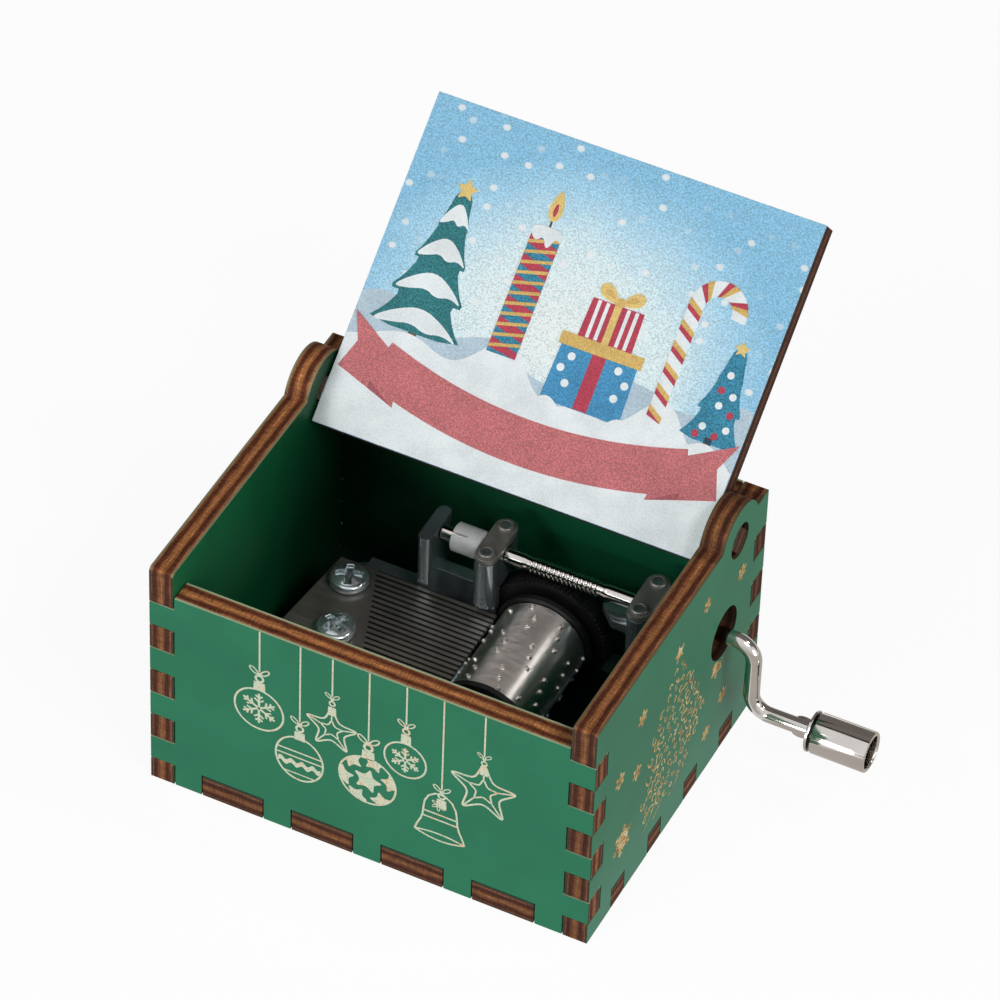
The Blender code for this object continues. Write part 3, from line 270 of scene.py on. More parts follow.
def card(name, colour, sides, near, far):
    """A flat card that only mirror rays see."""
    finish = Finish(name, colour, 1.0)
    finish.show(finish.node("Emission", (*colour, 1.0), 1.0))
    made = sheet(name, finish, sides, near, far)
    made.visible_camera = made.visible_diffuse = made.visible_transmission = made.visible_shadow = False


card("back_card", (0.19, 0.172, 0.16), ROOM_SIDES, (2.2, 0.02), (1.6, 2.6))
card("roof_card", (0.22, 0.20, 0.185), ROOM_SIDES, (1.6, 2.6), (0.35, 2.6))
card("roof_line", (0.02, 0.018, 0.017), ROOM_SIDES, (0.35, 2.6), (-0.05, 2.6))
card("low_card", (0.60, 0.565, 0.53), (0.036, 0.6), (-0.6, 0.002), (0.2, 0.002))
card("front_line", (0.03, 0.028, 0.026), ROOM_SIDES, (-2.4, 0.36), (-2.4, 0.50))

# %% [markdown]
# ## Shapes as arrays
# A new piece is a surface worked out with numpy. A grid of points comes from a formula in two parameters, and
# one function turns such a grid into faces. A shape is kept as a pair, its points and its faces, so that
# several shapes can be put together before they become a mesh.


# %% Grids, turned shapes and pieces
def spots(*parts):
    """Points from their coordinates, each an array or a single number."""
    return np.stack(np.broadcast_arrays(*parts), axis=-1)


def wall(rows, columns, ring):
    """Quads between neighbouring rings of points: (row, place), the next place, the next row."""
    row, place = np.arange(rows if ring else rows - 1)[:, None], np.arange(columns)[None, :]
    here, below, after = row * columns, (row + 1) % rows * columns, (place + 1) % columns
    return spots(here + place, here + after, below + after, below + place).reshape(-1, 4)


def volume(points, faces):
    """Six times the enclosed volume: the sum of corner products over the fan of each face."""
    total = 0.0
    for face in faces:
        corners = points[face]
        for i in range(1, corners.shape[1] - 1):
            total += np.einsum("ij,ij->", corners[:, 0], np.cross(corners[:, i], corners[:, i + 1]))
    return total


def tube(grid, ring=False):
    """A closed skin from rings of points: each row is a ring, and two flat caps or the first ring end them."""
    rows, columns = grid.shape[:2]
    points = grid.reshape(-1, 3)
    faces = [wall(rows, columns, ring)]
    if not ring:
        first = np.arange(columns)[::-1]
        faces += [first[None, :], (rows - 1) * columns + np.arange(columns)[None, :]]
    if volume(points, faces) < 0:
        faces = [face[:, ::-1] for face in faces]
    return points, faces


def together(shapes):
    """Several shapes as one: the points in a row, and each shape's faces counted on."""
    points, faces, start = [], [], 0
    for some_points, some_faces in shapes:
        points.append(some_points)
        faces += [face + start for face in some_faces]
        start += len(some_points)
    return np.concatenate(points), faces


def frame_of(axis):
    """Two unit vectors square to an axis, which make a right-handed set with it."""
    axis = np.array(axis, float)
    axis /= np.linalg.norm(axis)
    other = np.array([0.0, 0.0, 1.0]) if abs(axis[2]) < 0.9 else np.array([1.0, 0.0, 0.0])
    first = np.cross(other, axis)
    first /= np.linalg.norm(first)
    return axis, first, np.cross(axis, first)


def lathe(profile, axis, centre, steps=96, ring=False):
    """A profile of (radius, distance along the axis) carried once round the axis, with sizes in millimetres."""
    along, first, second = frame_of(axis)
    profile = np.array(profile, float)
    turn = np.linspace(0, 2 * math.pi, steps, endpoint=False)
    round_it = np.cos(turn)[:, None] * first + np.sin(turn)[:, None] * second
    grid = profile[:, 1, None, None] * along + profile[:, 0, None, None] * round_it[None]
    return tube((grid + np.array(centre, float)) * MM, ring=ring)


def placed(name, mesh, finish, body, replaces=()):
    """A mesh with its finish as an object, riding on a body and standing for the solids that it replaces."""
    mesh.materials.append(finish.material)
    made = bpy.data.objects.new(name, mesh)
    bpy.context.scene.collection.objects.link(made)
    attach(made, body)
    if replaces:
        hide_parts(*replaces)
    return made


def piece(name, shape, finish, body, replaces=(), angle=None):
    """One finished object from a shape; faces that meet at less than an angle in degrees are shaded as one."""
    points, faces = shape
    mesh = bpy.data.meshes.new(name)
    mesh.from_pydata(points.tolist(), [], [corners for face in faces for corners in face.tolist()])
    mesh.update()
    if angle:
        mesh.shade_smooth()
        mesh.set_sharp_from_angle(angle=math.radians(angle))
    placed(name, mesh, finish, body, replaces)


trial_points, trial_faces = lathe([(1.0, 0.0), (1.0, 2.0)], (0, 0, 1), (0, 0, 0), 8)
print("a rod of eight sides:", len(trial_points), "points and", sum(map(len, trial_faces)), "faces")


# %% [markdown]
# ## Softened copies of the solids
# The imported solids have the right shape, but their edges are knife sharp and their round faces are faceted.
# A copy with merged points can take a Bevel modifier, which leaves a narrow rounded edge that catches light.


# %% A softened copy
SHARP_FROM = math.radians(32.0)
FLAT_WITHIN = math.radians(0.5)
MERGE_WITHIN = 1e-6


def softened(node, name, width, finish, body):
    """A copy of a solid: its points merged, its flat faces made whole, its edges rounded to a width."""
    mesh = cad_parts[node].data.copy()
    mesh.name = name
    mesh.materials.clear()
    shape = bmesh.new()
    shape.from_mesh(mesh)
    bmesh.ops.remove_doubles(shape, verts=shape.verts, dist=MERGE_WITHIN)
    bmesh.ops.dissolve_limit(
        shape, angle_limit=FLAT_WITHIN, verts=shape.verts, edges=shape.edges, delimit={"SHARP"}
    )
    shape.to_mesh(mesh)
    shape.free()
    mesh.shade_smooth()
    mesh.set_sharp_from_angle(angle=SHARP_FROM)
    bevel = placed(name, mesh, finish, body, (node,)).modifiers.new("edges", "BEVEL")
    bevel.width = width
    bevel.segments = 2
    bevel.limit_method = "ANGLE"
    bevel.angle_limit = SHARP_FROM
    bevel.harden_normals = True
    bevel.use_clamp_overlap = True


print("edges are rounded from", round(math.degrees(SHARP_FROM)), "degrees on")


# %% [markdown]
# ## Painted plywood
# The case is cut by laser from plywood that was painted green on both faces. The faces are paint. The cut
# edges show five plies: two dark ones, whose fibres end at the cut and burn, between three lighter ones, and
# a thin pale line right under the paint. The material finds out how deep a point lies in the sheet from its
# position alone, so that one formula paints faces and edges.

# %% Sizes of the case and colours of its plies
PLY = 3.5 * MM
HALF_WIDTH, HALF_DEPTH = 32.0 * MM, 25.4 * MM
CRANK_HOLE = (13.6 * MM, 22.3 * MM)
HINGE_HOLE = (16.8 * MM, 36.4 * MM)
HINGE = Vector((0.0, *HINGE_HOLE))
LID_LEAN = math.radians(40.305)
QUARTER = math.pi / 2
PAINT_GREEN = (0.0125, 0.158, 0.078)
PLY_COLOURS = (
    (0.0, (0.30, 0.21, 0.10)),
    (0.10, (0.26, 0.115, 0.045)),
    (0.185, (0.085, 0.022, 0.010)),
    (0.30, (0.10, 0.030, 0.013)),
    (0.385, (0.27, 0.105, 0.036)),
    (0.50, (0.40, 0.175, 0.065)),
    (0.60, (0.26, 0.098, 0.034)),
    (0.68, (0.075, 0.019, 0.009)),
    (0.80, (0.105, 0.032, 0.014)),
    (0.87, (0.30, 0.130, 0.055)),
    (1.0, (0.34, 0.23, 0.11)),
)
# painted light and shade: cut edges that face up are lighter, edges that face sideways darker
SIDE_EDGE_SHADE, UP_EDGE_LIGHT = (0.74, 0.69, 0.76), (1.46, 1.38, 1.32)
# painted shade: the line under the paint is dark on edges that face sideways
SIDE_LINE_SHADE = (0.05, 0.028, 0.016)
print("case:", [round(v / MM, 1) for v in (2 * HALF_WIDTH, 2 * HALF_DEPTH, PLY)], "mm wide, deep and thick")


# %% Plywood
def plywood(name, middle, turn=(0.0, 0.0, 0.0), pale=(0.50, 0.58, 0.36), over=None, edge_painted_light=1.0, darker_rims=()):
    """Paint on the faces and five plies on the edges; depth is measured along X after a shift and a turn."""
    made = Finish(name, PAINT_GREEN, 0.42)
    local = made.node("Mapping", made.node("Mapping", made.place, tuple(-v for v in middle)), None, turn)
    split = made.parts(local)
    depth = made.math("DIVIDE", split["X"], PLY)

    def fibres(along, across, detail, roughness):
        """A noise with as many waves to the metre along the sheet and across it as asked."""
        return made.noise(made.vector("MULTIPLY", local, (across, along, along)), 1.0, detail, roughness)

    wander = fibres(260.0, 400.0, 3.0, 0.6)
    streak = fibres(320.0, 5200.0, 4.0, 0.65)
    speck = fibres(5200.0, 5200.0, 3.0, 0.7)
    place = made.math("ADD", made.stirred(depth, wander, 0.17), 0.5)
    # painted light and shade: a factor of the panel scales all its ply colours lighter or darker
    plies = made.ramp(place, [(at, tuple(edge_painted_light * v for v in colour)) for at, colour in PLY_COLOURS])
    dark = made.ramp(streak, [(0.30, 0.42), (0.55, 1.0), (0.72, 1.55)])
    grain = made.ramp(speck, [(0.32, 0.55), (0.55, 1.05), (0.75, 1.35)])
    ticks = made.ramp(fibres(4200.0, 700.0, 2.0, 0.6), [(0.36, 0.72), (0.62, 1.22)])
    worn = made.vector("MULTIPLY", plies, made.vector("MULTIPLY", dark, made.math("MULTIPLY", grain, ticks)))

    from_middle = made.math("ABSOLUTE", depth)
    near_face = made.ramp(made.stirred(from_middle, streak, 0.03), [(0.395, 0.0), (0.422, 1.0)])
    # painted light and shade: the edge colour and the line under the paint change with the way an edge faces
    upward = made.ramp(made.parts(made.place.node.outputs["Normal"])["Z"], [(0.3, 0.0), (0.6, 1.0)])
    lit = made.vector("MULTIPLY", worn, made.mix(upward, SIDE_EDGE_SHADE, UP_EDGE_LIGHT))
    edge = made.mix(near_face, lit, made.mix(upward, SIDE_LINE_SHADE, pale))
    # the cut edges are darker within a radius of each hole's middle, by a level given with it
    for centre, radius, level in darker_rims:
        flat = made.node("CombineXYZ", 0.0, split["Y"], split["Z"])
        away = made.math("DIVIDE", made.vector("DISTANCE", flat, (0.0, *centre)), radius)
        edge = made.vector("MULTIPLY", edge, made.ramp(away, [(0.98, level), (1.0, 1.0)]))

    face = made.ramp(from_middle, [(0.4900, 0.0), (0.4915, 1.0)])
    paint = made.ramp(made.noise(made.place, 90.0, 3.0, 0.5), levels(PAINT_GREEN, (0.35, 0.93), (0.65, 1.07)))
    if over:
        paint = over(made, split, depth, paint)
    made.set("Base Color", made.mix(face, edge, paint))
    made.set("Roughness", made.ramp(face, [(0.0, 0.78), (1.0, 0.46)]))
    made.set("Specular IOR Level", 0.2)
    on_edge = made.math("MULTIPLY", streak, made.math("SUBTRACT", 1.0, face))
    on_paint = made.math("MULTIPLY", made.noise(made.place, 1500.0, 2.0, 0.5), 0.25)
    made.bump(made.math("ADD", on_edge, on_paint), 0.5, 0.00004)
    return made


print("stops across the plies:", len(PLY_COLOURS))

# %% [markdown]
# Inside, the box looks darker than outside, and this is painted shade. The inner side of a panel has a darker
# tint of its own and a level that falls along the panel, darkest towards the rear left corner. The base's upper
# face is painted darkest, and round the two holes on the right the cut edges are darker.


# %% Painted inner shade, and the panels
def shaded_inside(tint, unshaded_end, shaded_end):
    """Painted shade on the inner face: a darker tint, and a level that falls along the panel between two (place,
    level) pairs.
    """

    def over(made, split, depth, paint):
        run = made.math("ADD", made.math("DIVIDE", split["Y"], 60.0 * MM), 0.5)
        shaded_paint = made.vector("MULTIPLY", made.vector("MULTIPLY", paint, tint), made.ramp(run, sorted([unshaded_end, shaded_end])))
        return made.mix(made.math("GREATER_THAN", depth, 0.0), paint, shaded_paint)

    return over


def shaded_base_top(made, split, depth, paint):
    """Painted shade: the base's upper face inside the box is painted near black."""
    return made.mix(made.math("GREATER_THAN", depth, 0.0), paint, (0.004, 0.022, 0.012))


# painted shade on the inner faces of the left and back panels, deepest towards the rear left corner
left_inner_shade = shaded_inside((0.34, 0.72, 0.52), (0.30, 1.0), (0.82, 0.22))
back_inner_shade = shaded_inside((0.80, 0.95, 0.85), (0.60, 1.0), (0.08, 0.18))
# levels by which the cut edges darken in and round the crank's hole and the hinge's hole
DARKER_HOLE_RIMS = ((CRANK_HOLE, 4.2 * MM, 0.22), (HINGE_HOLE, 2.4 * MM, 0.5), (HINGE_HOLE, 7.6 * MM, 0.62))
PANEL_EDGE = 0.07 * MM
SIDE_AT, FRONT_AT = HALF_WIDTH - PLY / 2, HALF_DEPTH - PLY / 2
# each panel's edge factor is painted light and shade: it makes its cut edges lighter or darker as a whole
panels = {
    "left_side_panel": plywood("painted_ply_left", (-SIDE_AT, 0, 0), pale=(0.27, 0.24, 0.13), over=left_inner_shade),
    "right_side_panel": plywood(
        "painted_ply_right", (SIDE_AT, 0, 0), pale=(0.20, 0.12, 0.06), edge_painted_light=0.85, darker_rims=DARKER_HOLE_RIMS
    ),
    "front_panel": plywood("painted_ply_front", (0, -FRONT_AT, 0), (0, 0, QUARTER), edge_painted_light=1.25),
    "back_panel": plywood(
        "painted_ply_back", (0, FRONT_AT, 0), (0, 0, QUARTER), over=back_inner_shade, edge_painted_light=0.55
    ),
    "base_panel": plywood("painted_ply_base", (0, 0, PLY / 2), (0, QUARTER, 0), over=shaded_base_top, edge_painted_light=0.85),
}
for node, finish in panels.items():
    softened(node, node + "_cut", PANEL_EDGE, finish, "case")

# %% [markdown]
# ## Metal and plastic finishes
# The movement mixes a blackened zinc casting, dark oiled steel, polished nickel, bright bluish zinc and black
# plastic. Each finish gets uneven roughness and a fine bump, because even smudges and tool marks are what make
# metal look like metal.


# %% Metals and plastics
STILL = (1.0, 1.0, 1.0)


def metal(name, colour, roughness, spread, scale=900.0, stretch=STILL, bump=0.15, depth=0.00001, metallic=1.0):
    """A metal whose colour and roughness wander with a noise, which may be stretched into brush marks."""
    made = Finish(name, colour, roughness, metallic)
    marks = made.noise(made.node("Mapping", made.place, None, None, stretch), scale, 4.0, 0.6)
    cloud = made.noise(made.place, 220.0, 3.0, 0.5)
    made.set("Base Color", made.ramp(cloud, levels(colour, (0.3, 1.0 - spread), (0.7, 1.0 + spread))))
    made.set("Roughness", made.ramp(marks, [(0.3, roughness * 0.75), (0.7, min(1.0, roughness * 1.35))]))
    made.bump(marks, bump, depth)
    return made


def nickelled(name):
    """Polished nickel plating."""
    return metal(name, (0.60, 0.57, 0.54), 0.10, 0.04, bump=0.06, depth=0.000004)


TEETH, TOOTH_STEP, TEETH_REAR = 18, 0.92, 10.1
ROOT_AT_REAR, ROOT_FALL = -17.0 * MM, 6.1 * MM


def slot_shade_bands(made):
    """Painted light and shade: each tooth is lighter along its middle and darker beside its slots, in bands that
    repeat with the teeth.
    """
    split = made.parts(made.place)
    step = made.math("DIVIDE", made.math("SUBTRACT", TEETH_REAR * MM, split["Y"]), TOOTH_STEP * MM)
    off = made.math("ABSOLUTE", made.math("SUBTRACT", made.math("FRACT", made.math("ADD", step, 0.5)), 0.5))
    # painted shade beside the slots and a painted highlight along each tooth's middle
    band = made.ramp(off, [(0.17, 0.22), (0.25, 1.15)])
    root = made.math("ADD", ROOT_AT_REAR, made.math("MULTIPLY", step, ROOT_FALL / TEETH))
    made.tint(made.mix(made.math("GREATER_THAN", split["X"], root), (1.0, 1.0, 1.0), band))


def plastic(name, colour, roughness, subsurface=0.0):
    """Moulded plastic with a faint cloudiness and a fine skin, and light inside it if it is milky."""
    made = Finish(name, colour, roughness)
    cloud = made.noise(made.place, 700.0, 3.0, 0.5)
    made.set("Base Color", made.ramp(cloud, levels(colour, (0.3, 0.92), (0.7, 1.08))))
    made.set("Roughness", made.ramp(cloud, [(0.3, roughness * 0.85), (0.7, roughness * 1.15)]))
    made.bump(made.noise(made.place, 4000.0, 2.0, 0.5), 0.1, 0.00001)
    if subsurface:
        made.set("Subsurface Weight", subsurface)
        made.set("Subsurface Radius", (0.0012, 0.0012, 0.0012))
        made.set("Subsurface Scale", 1.0)
    return made


casting = metal("zinc_casting", (0.36, 0.42, 0.45), 0.17, 0.12, bump=0.16, depth=0.00003, metallic=0.75)
oiled = metal("strap_steel", (0.33, 0.315, 0.295), 0.42, 0.15, bump=0.4, depth=0.00002, metallic=0.5)
spring = metal("comb_steel", (0.27, 0.252, 0.228), 0.36, 0.2, 420.0, (0.15, 6.0, 1.0), 0.45, 0.00002, 0.7)
slot_shade_bands(spring)
lead = metal("lead", (0.11, 0.11, 0.12), 0.6, 0.3, metallic=0.8)
zinc = metal("zinc_plate", (0.64, 0.72, 0.74), 0.18, 0.10, 700.0, bump=0.3, depth=0.00002, metallic=0.8)
nickel = nickelled("nickel_plate")
drum_nickel = metal("drum_nickel", (0.76, 0.71, 0.67), 0.36, 0.06, 1000.0, (0.5, 5.0, 0.5), bump=0.12)
drum_nickel.set("Anisotropic", 0.9)
drum_nickel.set("Tangent", drum_nickel.node("CombineXYZ", 0.0, 1.0, 0.0))
steel = metal("bright_steel", (0.6, 0.6, 0.6), 0.2, 0.06)
black = plastic("black_plastic", (0.006, 0.006, 0.007), 0.45)
milky = plastic("white_plastic", (0.88, 0.89, 0.89), 0.36, 0.15)
metals_and_plastics = (casting, oiled, spring, lead, zinc, nickel, drum_nickel, steel, black, milky)
print("finishes:", [finish.material.name for finish in metals_and_plastics])

# %% Pieces that keep the solids' shapes
for node, width, finish, body, slot in (
    ("movement_frame", 0.22, casting, "case", "zinc_casting"),
    ("comb", 0.11, spring, "case", "comb_steel"),
    ("left_strap", 0.12, oiled, "case", "strap_steel"),
    ("right_strap", 0.12, oiled, "case", "strap_steel"),
    ("drum_arbor", 0.05, steel, "case", "bright_steel"),
    ("shaft_bush", 0.1, milky, "crank", "white_plastic"),
    ("worm_wheel", 0.03, black, "drum", "black_plastic"),
    *((f"tuning_weight_{i}", 0.08, lead, "case", "lead") for i in range(1, 7)),
    *((f"base_screw_{i}", 0.05, zinc, "case", "zinc_plate") for i in range(1, 4)),
    ("drum_front_cap", 0.06, black, "drum", "black_plastic"),
):
    softened(node, node + "_soft", width * MM, finish, body)

# %% [markdown]
# ## Engraved ornaments
# A laser has burnt the paint away in thin lines, so that pale wood shows: hanging baubles, stars and a bell on
# the front, and a scrolled fir tree among snowflakes on the side. Each line is a flat bead carried along its
# path in the panel's plane, and each filled shape is a thin plate. They stand a few hundredths of a millimetre
# proud of the paint, which the eye can't tell from a burnt line, and they stay crisp at any distance.


# %% Lines and plates in a panel's plane
LINE_PROUD, LINE_SUNK = 0.03 * MM, 0.04 * MM
LINE_SHARE = 0.84
BEAD = (
    (1.0, -LINE_SUNK), (0.92, LINE_PROUD * 0.6), (0.0, LINE_PROUD), (-0.92, LINE_PROUD * 0.6), (-1.0, -LINE_SUNK),
)


def sideways(flat, closed=False):
    """Unit vectors square to a path, to its left."""
    way = (np.roll(flat, -1, 0) - np.roll(flat, 1, 0)) if closed else np.gradient(flat, axis=0)
    way /= np.linalg.norm(way, axis=1)[:, None] + 1e-12
    return spots(-way[:, 1], way[:, 0])


class Panel:
    """A flat place to draw on: a point (a, b) in millimetres lies at origin + a * across + b * upward."""

    def __init__(self, origin, across, upward):
        self.origin, self.across, self.upward = (np.array(v, float) for v in (origin, across, upward))
        self.out = np.cross(self.across, self.upward)
        self.shapes = []

    def at(self, flat, height):
        flat = np.array(flat, float) * MM
        return self.origin + flat[:, :1] * self.across + flat[:, 1:2] * self.upward + height * self.out

    def stroke(self, flat, width, closed=False):
        """A line of a width: its loop of five points lies square to the path, wider at its foot than at its top."""
        side = sideways(flat, closed) * width * LINE_SHARE / 2
        rows = [self.at(flat + side * share, height) for share, height in BEAD]
        self.shapes.append(tube(np.stack(rows, axis=1), ring=closed))

    def fill(self, outline, high=LINE_PROUD):
        """A filled shape: its outline at two heights, joined by a wall and closed by two flat faces."""
        self.shapes.append(tube(np.stack([self.at(outline, -LINE_SUNK), self.at(outline, high)])))


print("a line stands", round(LINE_PROUD / MM, 3), "mm proud and is sunk by", round(LINE_SUNK / MM, 3), "mm")


# %% Circles, stars, flakes and bows
def circle(centre, radius, steps, squash=1.0):
    """Points at even angles round a centre; squash flattens the circle upright."""
    turn = np.linspace(0, 2 * math.pi, steps, endpoint=False)
    return np.array(centre) + radius * spots(np.cos(turn), squash * np.sin(turn))


def ray(degrees):
    """The unit vector at an angle from the first axis."""
    return np.array([math.cos(math.radians(degrees)), math.sin(math.radians(degrees))])


def spun(outline, way):
    """An outline turned so that its first axis points along a unit vector."""
    return outline @ np.array([way, (-way[1], way[0])])


def star(centre, outer, inner, each=4, soft=1, start=90.0):
    """Five tips: corners lie in turn on two circles, straight edges join them, and a moving mean rounds them."""
    corner_turn = np.radians(start) + math.pi * np.arange(10) / 5
    radius = np.where(np.arange(10) % 2 == 0, outer, inner)
    corners = spots(radius * np.cos(corner_turn), radius * np.sin(corner_turn))
    share = np.arange(each)[None, :, None] / each
    edge = (corners[:, None] * (1 - share) + np.roll(corners, -1, 0)[:, None] * share).reshape(-1, 2)
    for _ in range(soft):
        edge = (np.roll(edge, 1, 0) + edge + np.roll(edge, -1, 0)) / 3
    return np.array(centre) + edge


def line(start, end, steps=6):
    """Points at even steps from one place to another."""
    share = np.linspace(0, 1, steps)[:, None]
    return np.array(start) * (1 - share) + np.array(end) * share


def flake(draw, centre, size, width, start=90.0):
    """A snowflake: six arms from the centre, each with two pairs of slanted twigs, a long and a short one."""
    for k in range(6):
        out = ray(start + 60 * k)
        side = np.array([-out[1], out[0]])
        draw.stroke(line(centre + out * size * 0.08, centre + out * size), width)
        for reach, twig in ((0.42, 0.34), (0.70, 0.26)):
            root = centre + out * size * reach
            for sign in (-1, 1):
                tip = root + (out * 0.8 + side * sign) * size * twig * 0.75
                draw.stroke(line(root, tip, 4), width * 0.85)


def bow(draw, top, width):
    """The hanger of an ornament: a ring on a small cap, and two leaves of ribbon over it."""
    x, z = top
    half = width / 2
    draw.fill([(x - half, z - 3.4), (x + half, z - 3.4), (x + half * 0.9, z - 1.9), (x - half * 0.9, z - 1.9)])
    draw.stroke(circle((x, z - 1.25), half * 0.62, 24), half * 0.5, closed=True)
    for sign in (-1, 1):
        way = (math.sin(sign * 0.85), math.cos(sign * 0.85))
        leaf = spun(circle((0, 0), half * 0.85, 20, 0.45), way) + (x + sign * half * 0.95, z + 0.05)
        draw.stroke(leaf, half * 0.3, closed=True)
    draw.fill(circle((x, z - 0.5), half * 0.42, 16))


def clamped(outline, centre, radius):
    """A shape kept inside a circle: points beyond it are drawn back to its rim."""
    from_centre = outline - np.array(centre)
    far = np.linalg.norm(from_centre, axis=1)
    return np.array(centre) + from_centre * np.minimum(1.0, radius / np.maximum(far, 1e-9))[:, None]


print("points of a star:", len(star((0, 0), 1.0, 0.5)))

# %% [markdown]
# ### The row of hanging ornaments
# Seven ornaments hang on strings from the panel's top edge. Their places and sizes were measured on the panel,
# in millimetres from its middle and from the table.

# %% Ornament drawing
PANEL_TOP = 34.25
STRING_WIDTH = 0.30
HANGERS = (
    (-15.9, 26.97, 1.75), (-10.0, 20.6, 1.6), (-5.35, 27.45, 1.25), (-0.05, 21.95, 1.9), (5.3, 27.5, 1.5),
    (10.6, 18.15, 1.5), (16.45, 27.05, 1.2),
)
BELL_X, BELL_MOUTH = 10.45, 9.35
BELL_HALF = (
    (0.0, 17.15), (0.75, 17.05), (1.7, 16.3), (2.25, 15.1), (2.42, 13.7), (2.5, 12.6), (2.75, 11.6), (3.3, 10.3),
    (3.6, BELL_MOUTH),
)


def hanging_ornaments(draw):
    """Every line and plate of the row on a panel: strings, bows, four baubles, two stars and a bell."""
    for x, z, width in HANGERS:
        draw.stroke(line((x, PANEL_TOP), (x, z), 3), STRING_WIDTH)
        bow(draw, (x, z), width)

    draw.stroke(circle((-15.95, 20.1), 3.55, 64), 0.36, closed=True)
    flake(draw, (-15.95, 20.3), 2.65, 0.42)
    draw.stroke(circle((5.25, 21.0), 3.0, 64), 0.34, closed=True)
    flake(draw, (5.25, 21.0), 2.2, 0.38)

    x, z = -10.0, 13.75
    draw.stroke(circle((x, z), 3.45, 64, 1.12), 0.36, closed=True)
    for height, width in ((14.9, 0.3), (13.9, 0.3), (10.9, 0.26)):
        reach = 3.4 * math.sqrt(1 - ((height - z) / 3.86) ** 2)
        draw.stroke(line((x - reach, height), (x + reach, height), 8), width)
    wave = np.linspace(-3.1, 3.1, 40)
    crest = 12.7 + 0.28 * np.sin(wave * 4.0)
    lower, upper = (spots(wave + x, crest + half) for half in (-0.42, 0.42))
    draw.fill(np.concatenate([lower, upper[::-1]]))

    for centre, outer, inner, width in (((-5.4, 21.45), 4.1, 1.75, 0.34), ((16.45, 20.75), 5.25, 2.2, 0.36)):
        draw.stroke(star(centre, outer, inner, each=8, soft=3), width, closed=True)
        draw.stroke(star(centre, outer * 0.42, inner * 0.46, each=5), width * 0.85, closed=True)
        for k in range(5):
            out = ray(90 + 72 * k) * outer
            draw.stroke(line(centre + out * 0.41, centre + out * 0.9), width * 0.8)

    ball = np.array((-0.1, 14.65))
    draw.stroke(circle(ball, 4.1, 64), 0.36, closed=True)
    draw.fill(star(ball, 2.3, 1.05, start=78))
    for turn, size in ((15, 1.9), (75, 1.75), (128, 1.8), (188, 2.0), (245, 1.8), (305, 1.9)):
        outline = star(ball + 3.75 * ray(turn), size, size * 0.48, start=turn * 2.0)
        draw.fill(clamped(outline, ball, 4.05))

    half = np.array(BELL_HALF)
    draw.stroke(np.concatenate([(half * (-1, 1))[::-1], half[1:]]) + (BELL_X, 0), 0.34)
    for height, reach in ((13.35, 2.42), (12.35, 2.52)):
        draw.stroke(line((BELL_X - reach, height), (BELL_X + reach, height), 6), 0.32)
    across = np.linspace(-1, 1, 20)
    for sag in (0.45, -0.75):
        draw.stroke(spots(BELL_X + 3.6 * across, BELL_MOUTH + sag * (1 - across**2)), 0.32)
    for k in range(6):
        out = ray(30 + 60 * k)
        draw.stroke(spun(circle((0, 0), 0.42, 14, 0.45), out) + (10.2, 15.1) + out * 0.62, 0.17, closed=True)


print("ornaments:", len(HANGERS))


# %% [markdown]
# ### The scrolled tree on the side
# The tree is filled with small hooks, as filigree is bent from wire, in rows that widen towards the ground. A
# star tops it and snowflakes fall round it. The twigs of a flake that would cross the crank's hole are left out.

# %% Tree and snowflakes
TREE_LEFT = (
    (6.9, -9.2), (10.9, -10.4), (14.8, -8.4), (16.9, -8.7), (22.9, -7.2), (24.9, -5.1), (27.1, -3.7), (30.3, -2.2),
)
TREE_RIGHT = ((6.9, 2.9), (10.9, 6.7), (14.6, 8.2), (19.6, 6.3), (24.5, 3.4), (27.1, 2.2), (30.3, 0.4))
ROW_STEP, HOOK_STEP = 1.62, 1.95
FLAKES = (
    ((7.4, 32.9), 1.15), ((18.2, 29.6), 1.35), ((11.9, 17.6), 1.9), ((14.4, 10.3), 1.3), ((-11.5, 29.1), 1.35),
    ((9.6, 7.3), 1.2), ((-17.7, 23.2), 1.4), ((-12.4, 19.9), 1.3), ((-15.9, 10.5), 2.7),
)
HOLE_KEEP = 4.05 * MM


def curl(centre, size, start, hand):
    """A hook: it winds out from a small radius to its full size, then runs off in a short tail."""
    share = np.linspace(0, 1, 15)
    turn = math.radians(start) + hand * 1.5 * math.pi * share
    radius = size * (0.3 + 0.7 * share)
    wound = np.array(centre) + spots(radius * np.cos(turn), radius * np.sin(turn))
    last = wound[-1] - wound[-2]
    tail = wound[-1] + last / np.linalg.norm(last) * np.array([[0.35], [0.75]]) * size
    return np.concatenate([wound, tail])


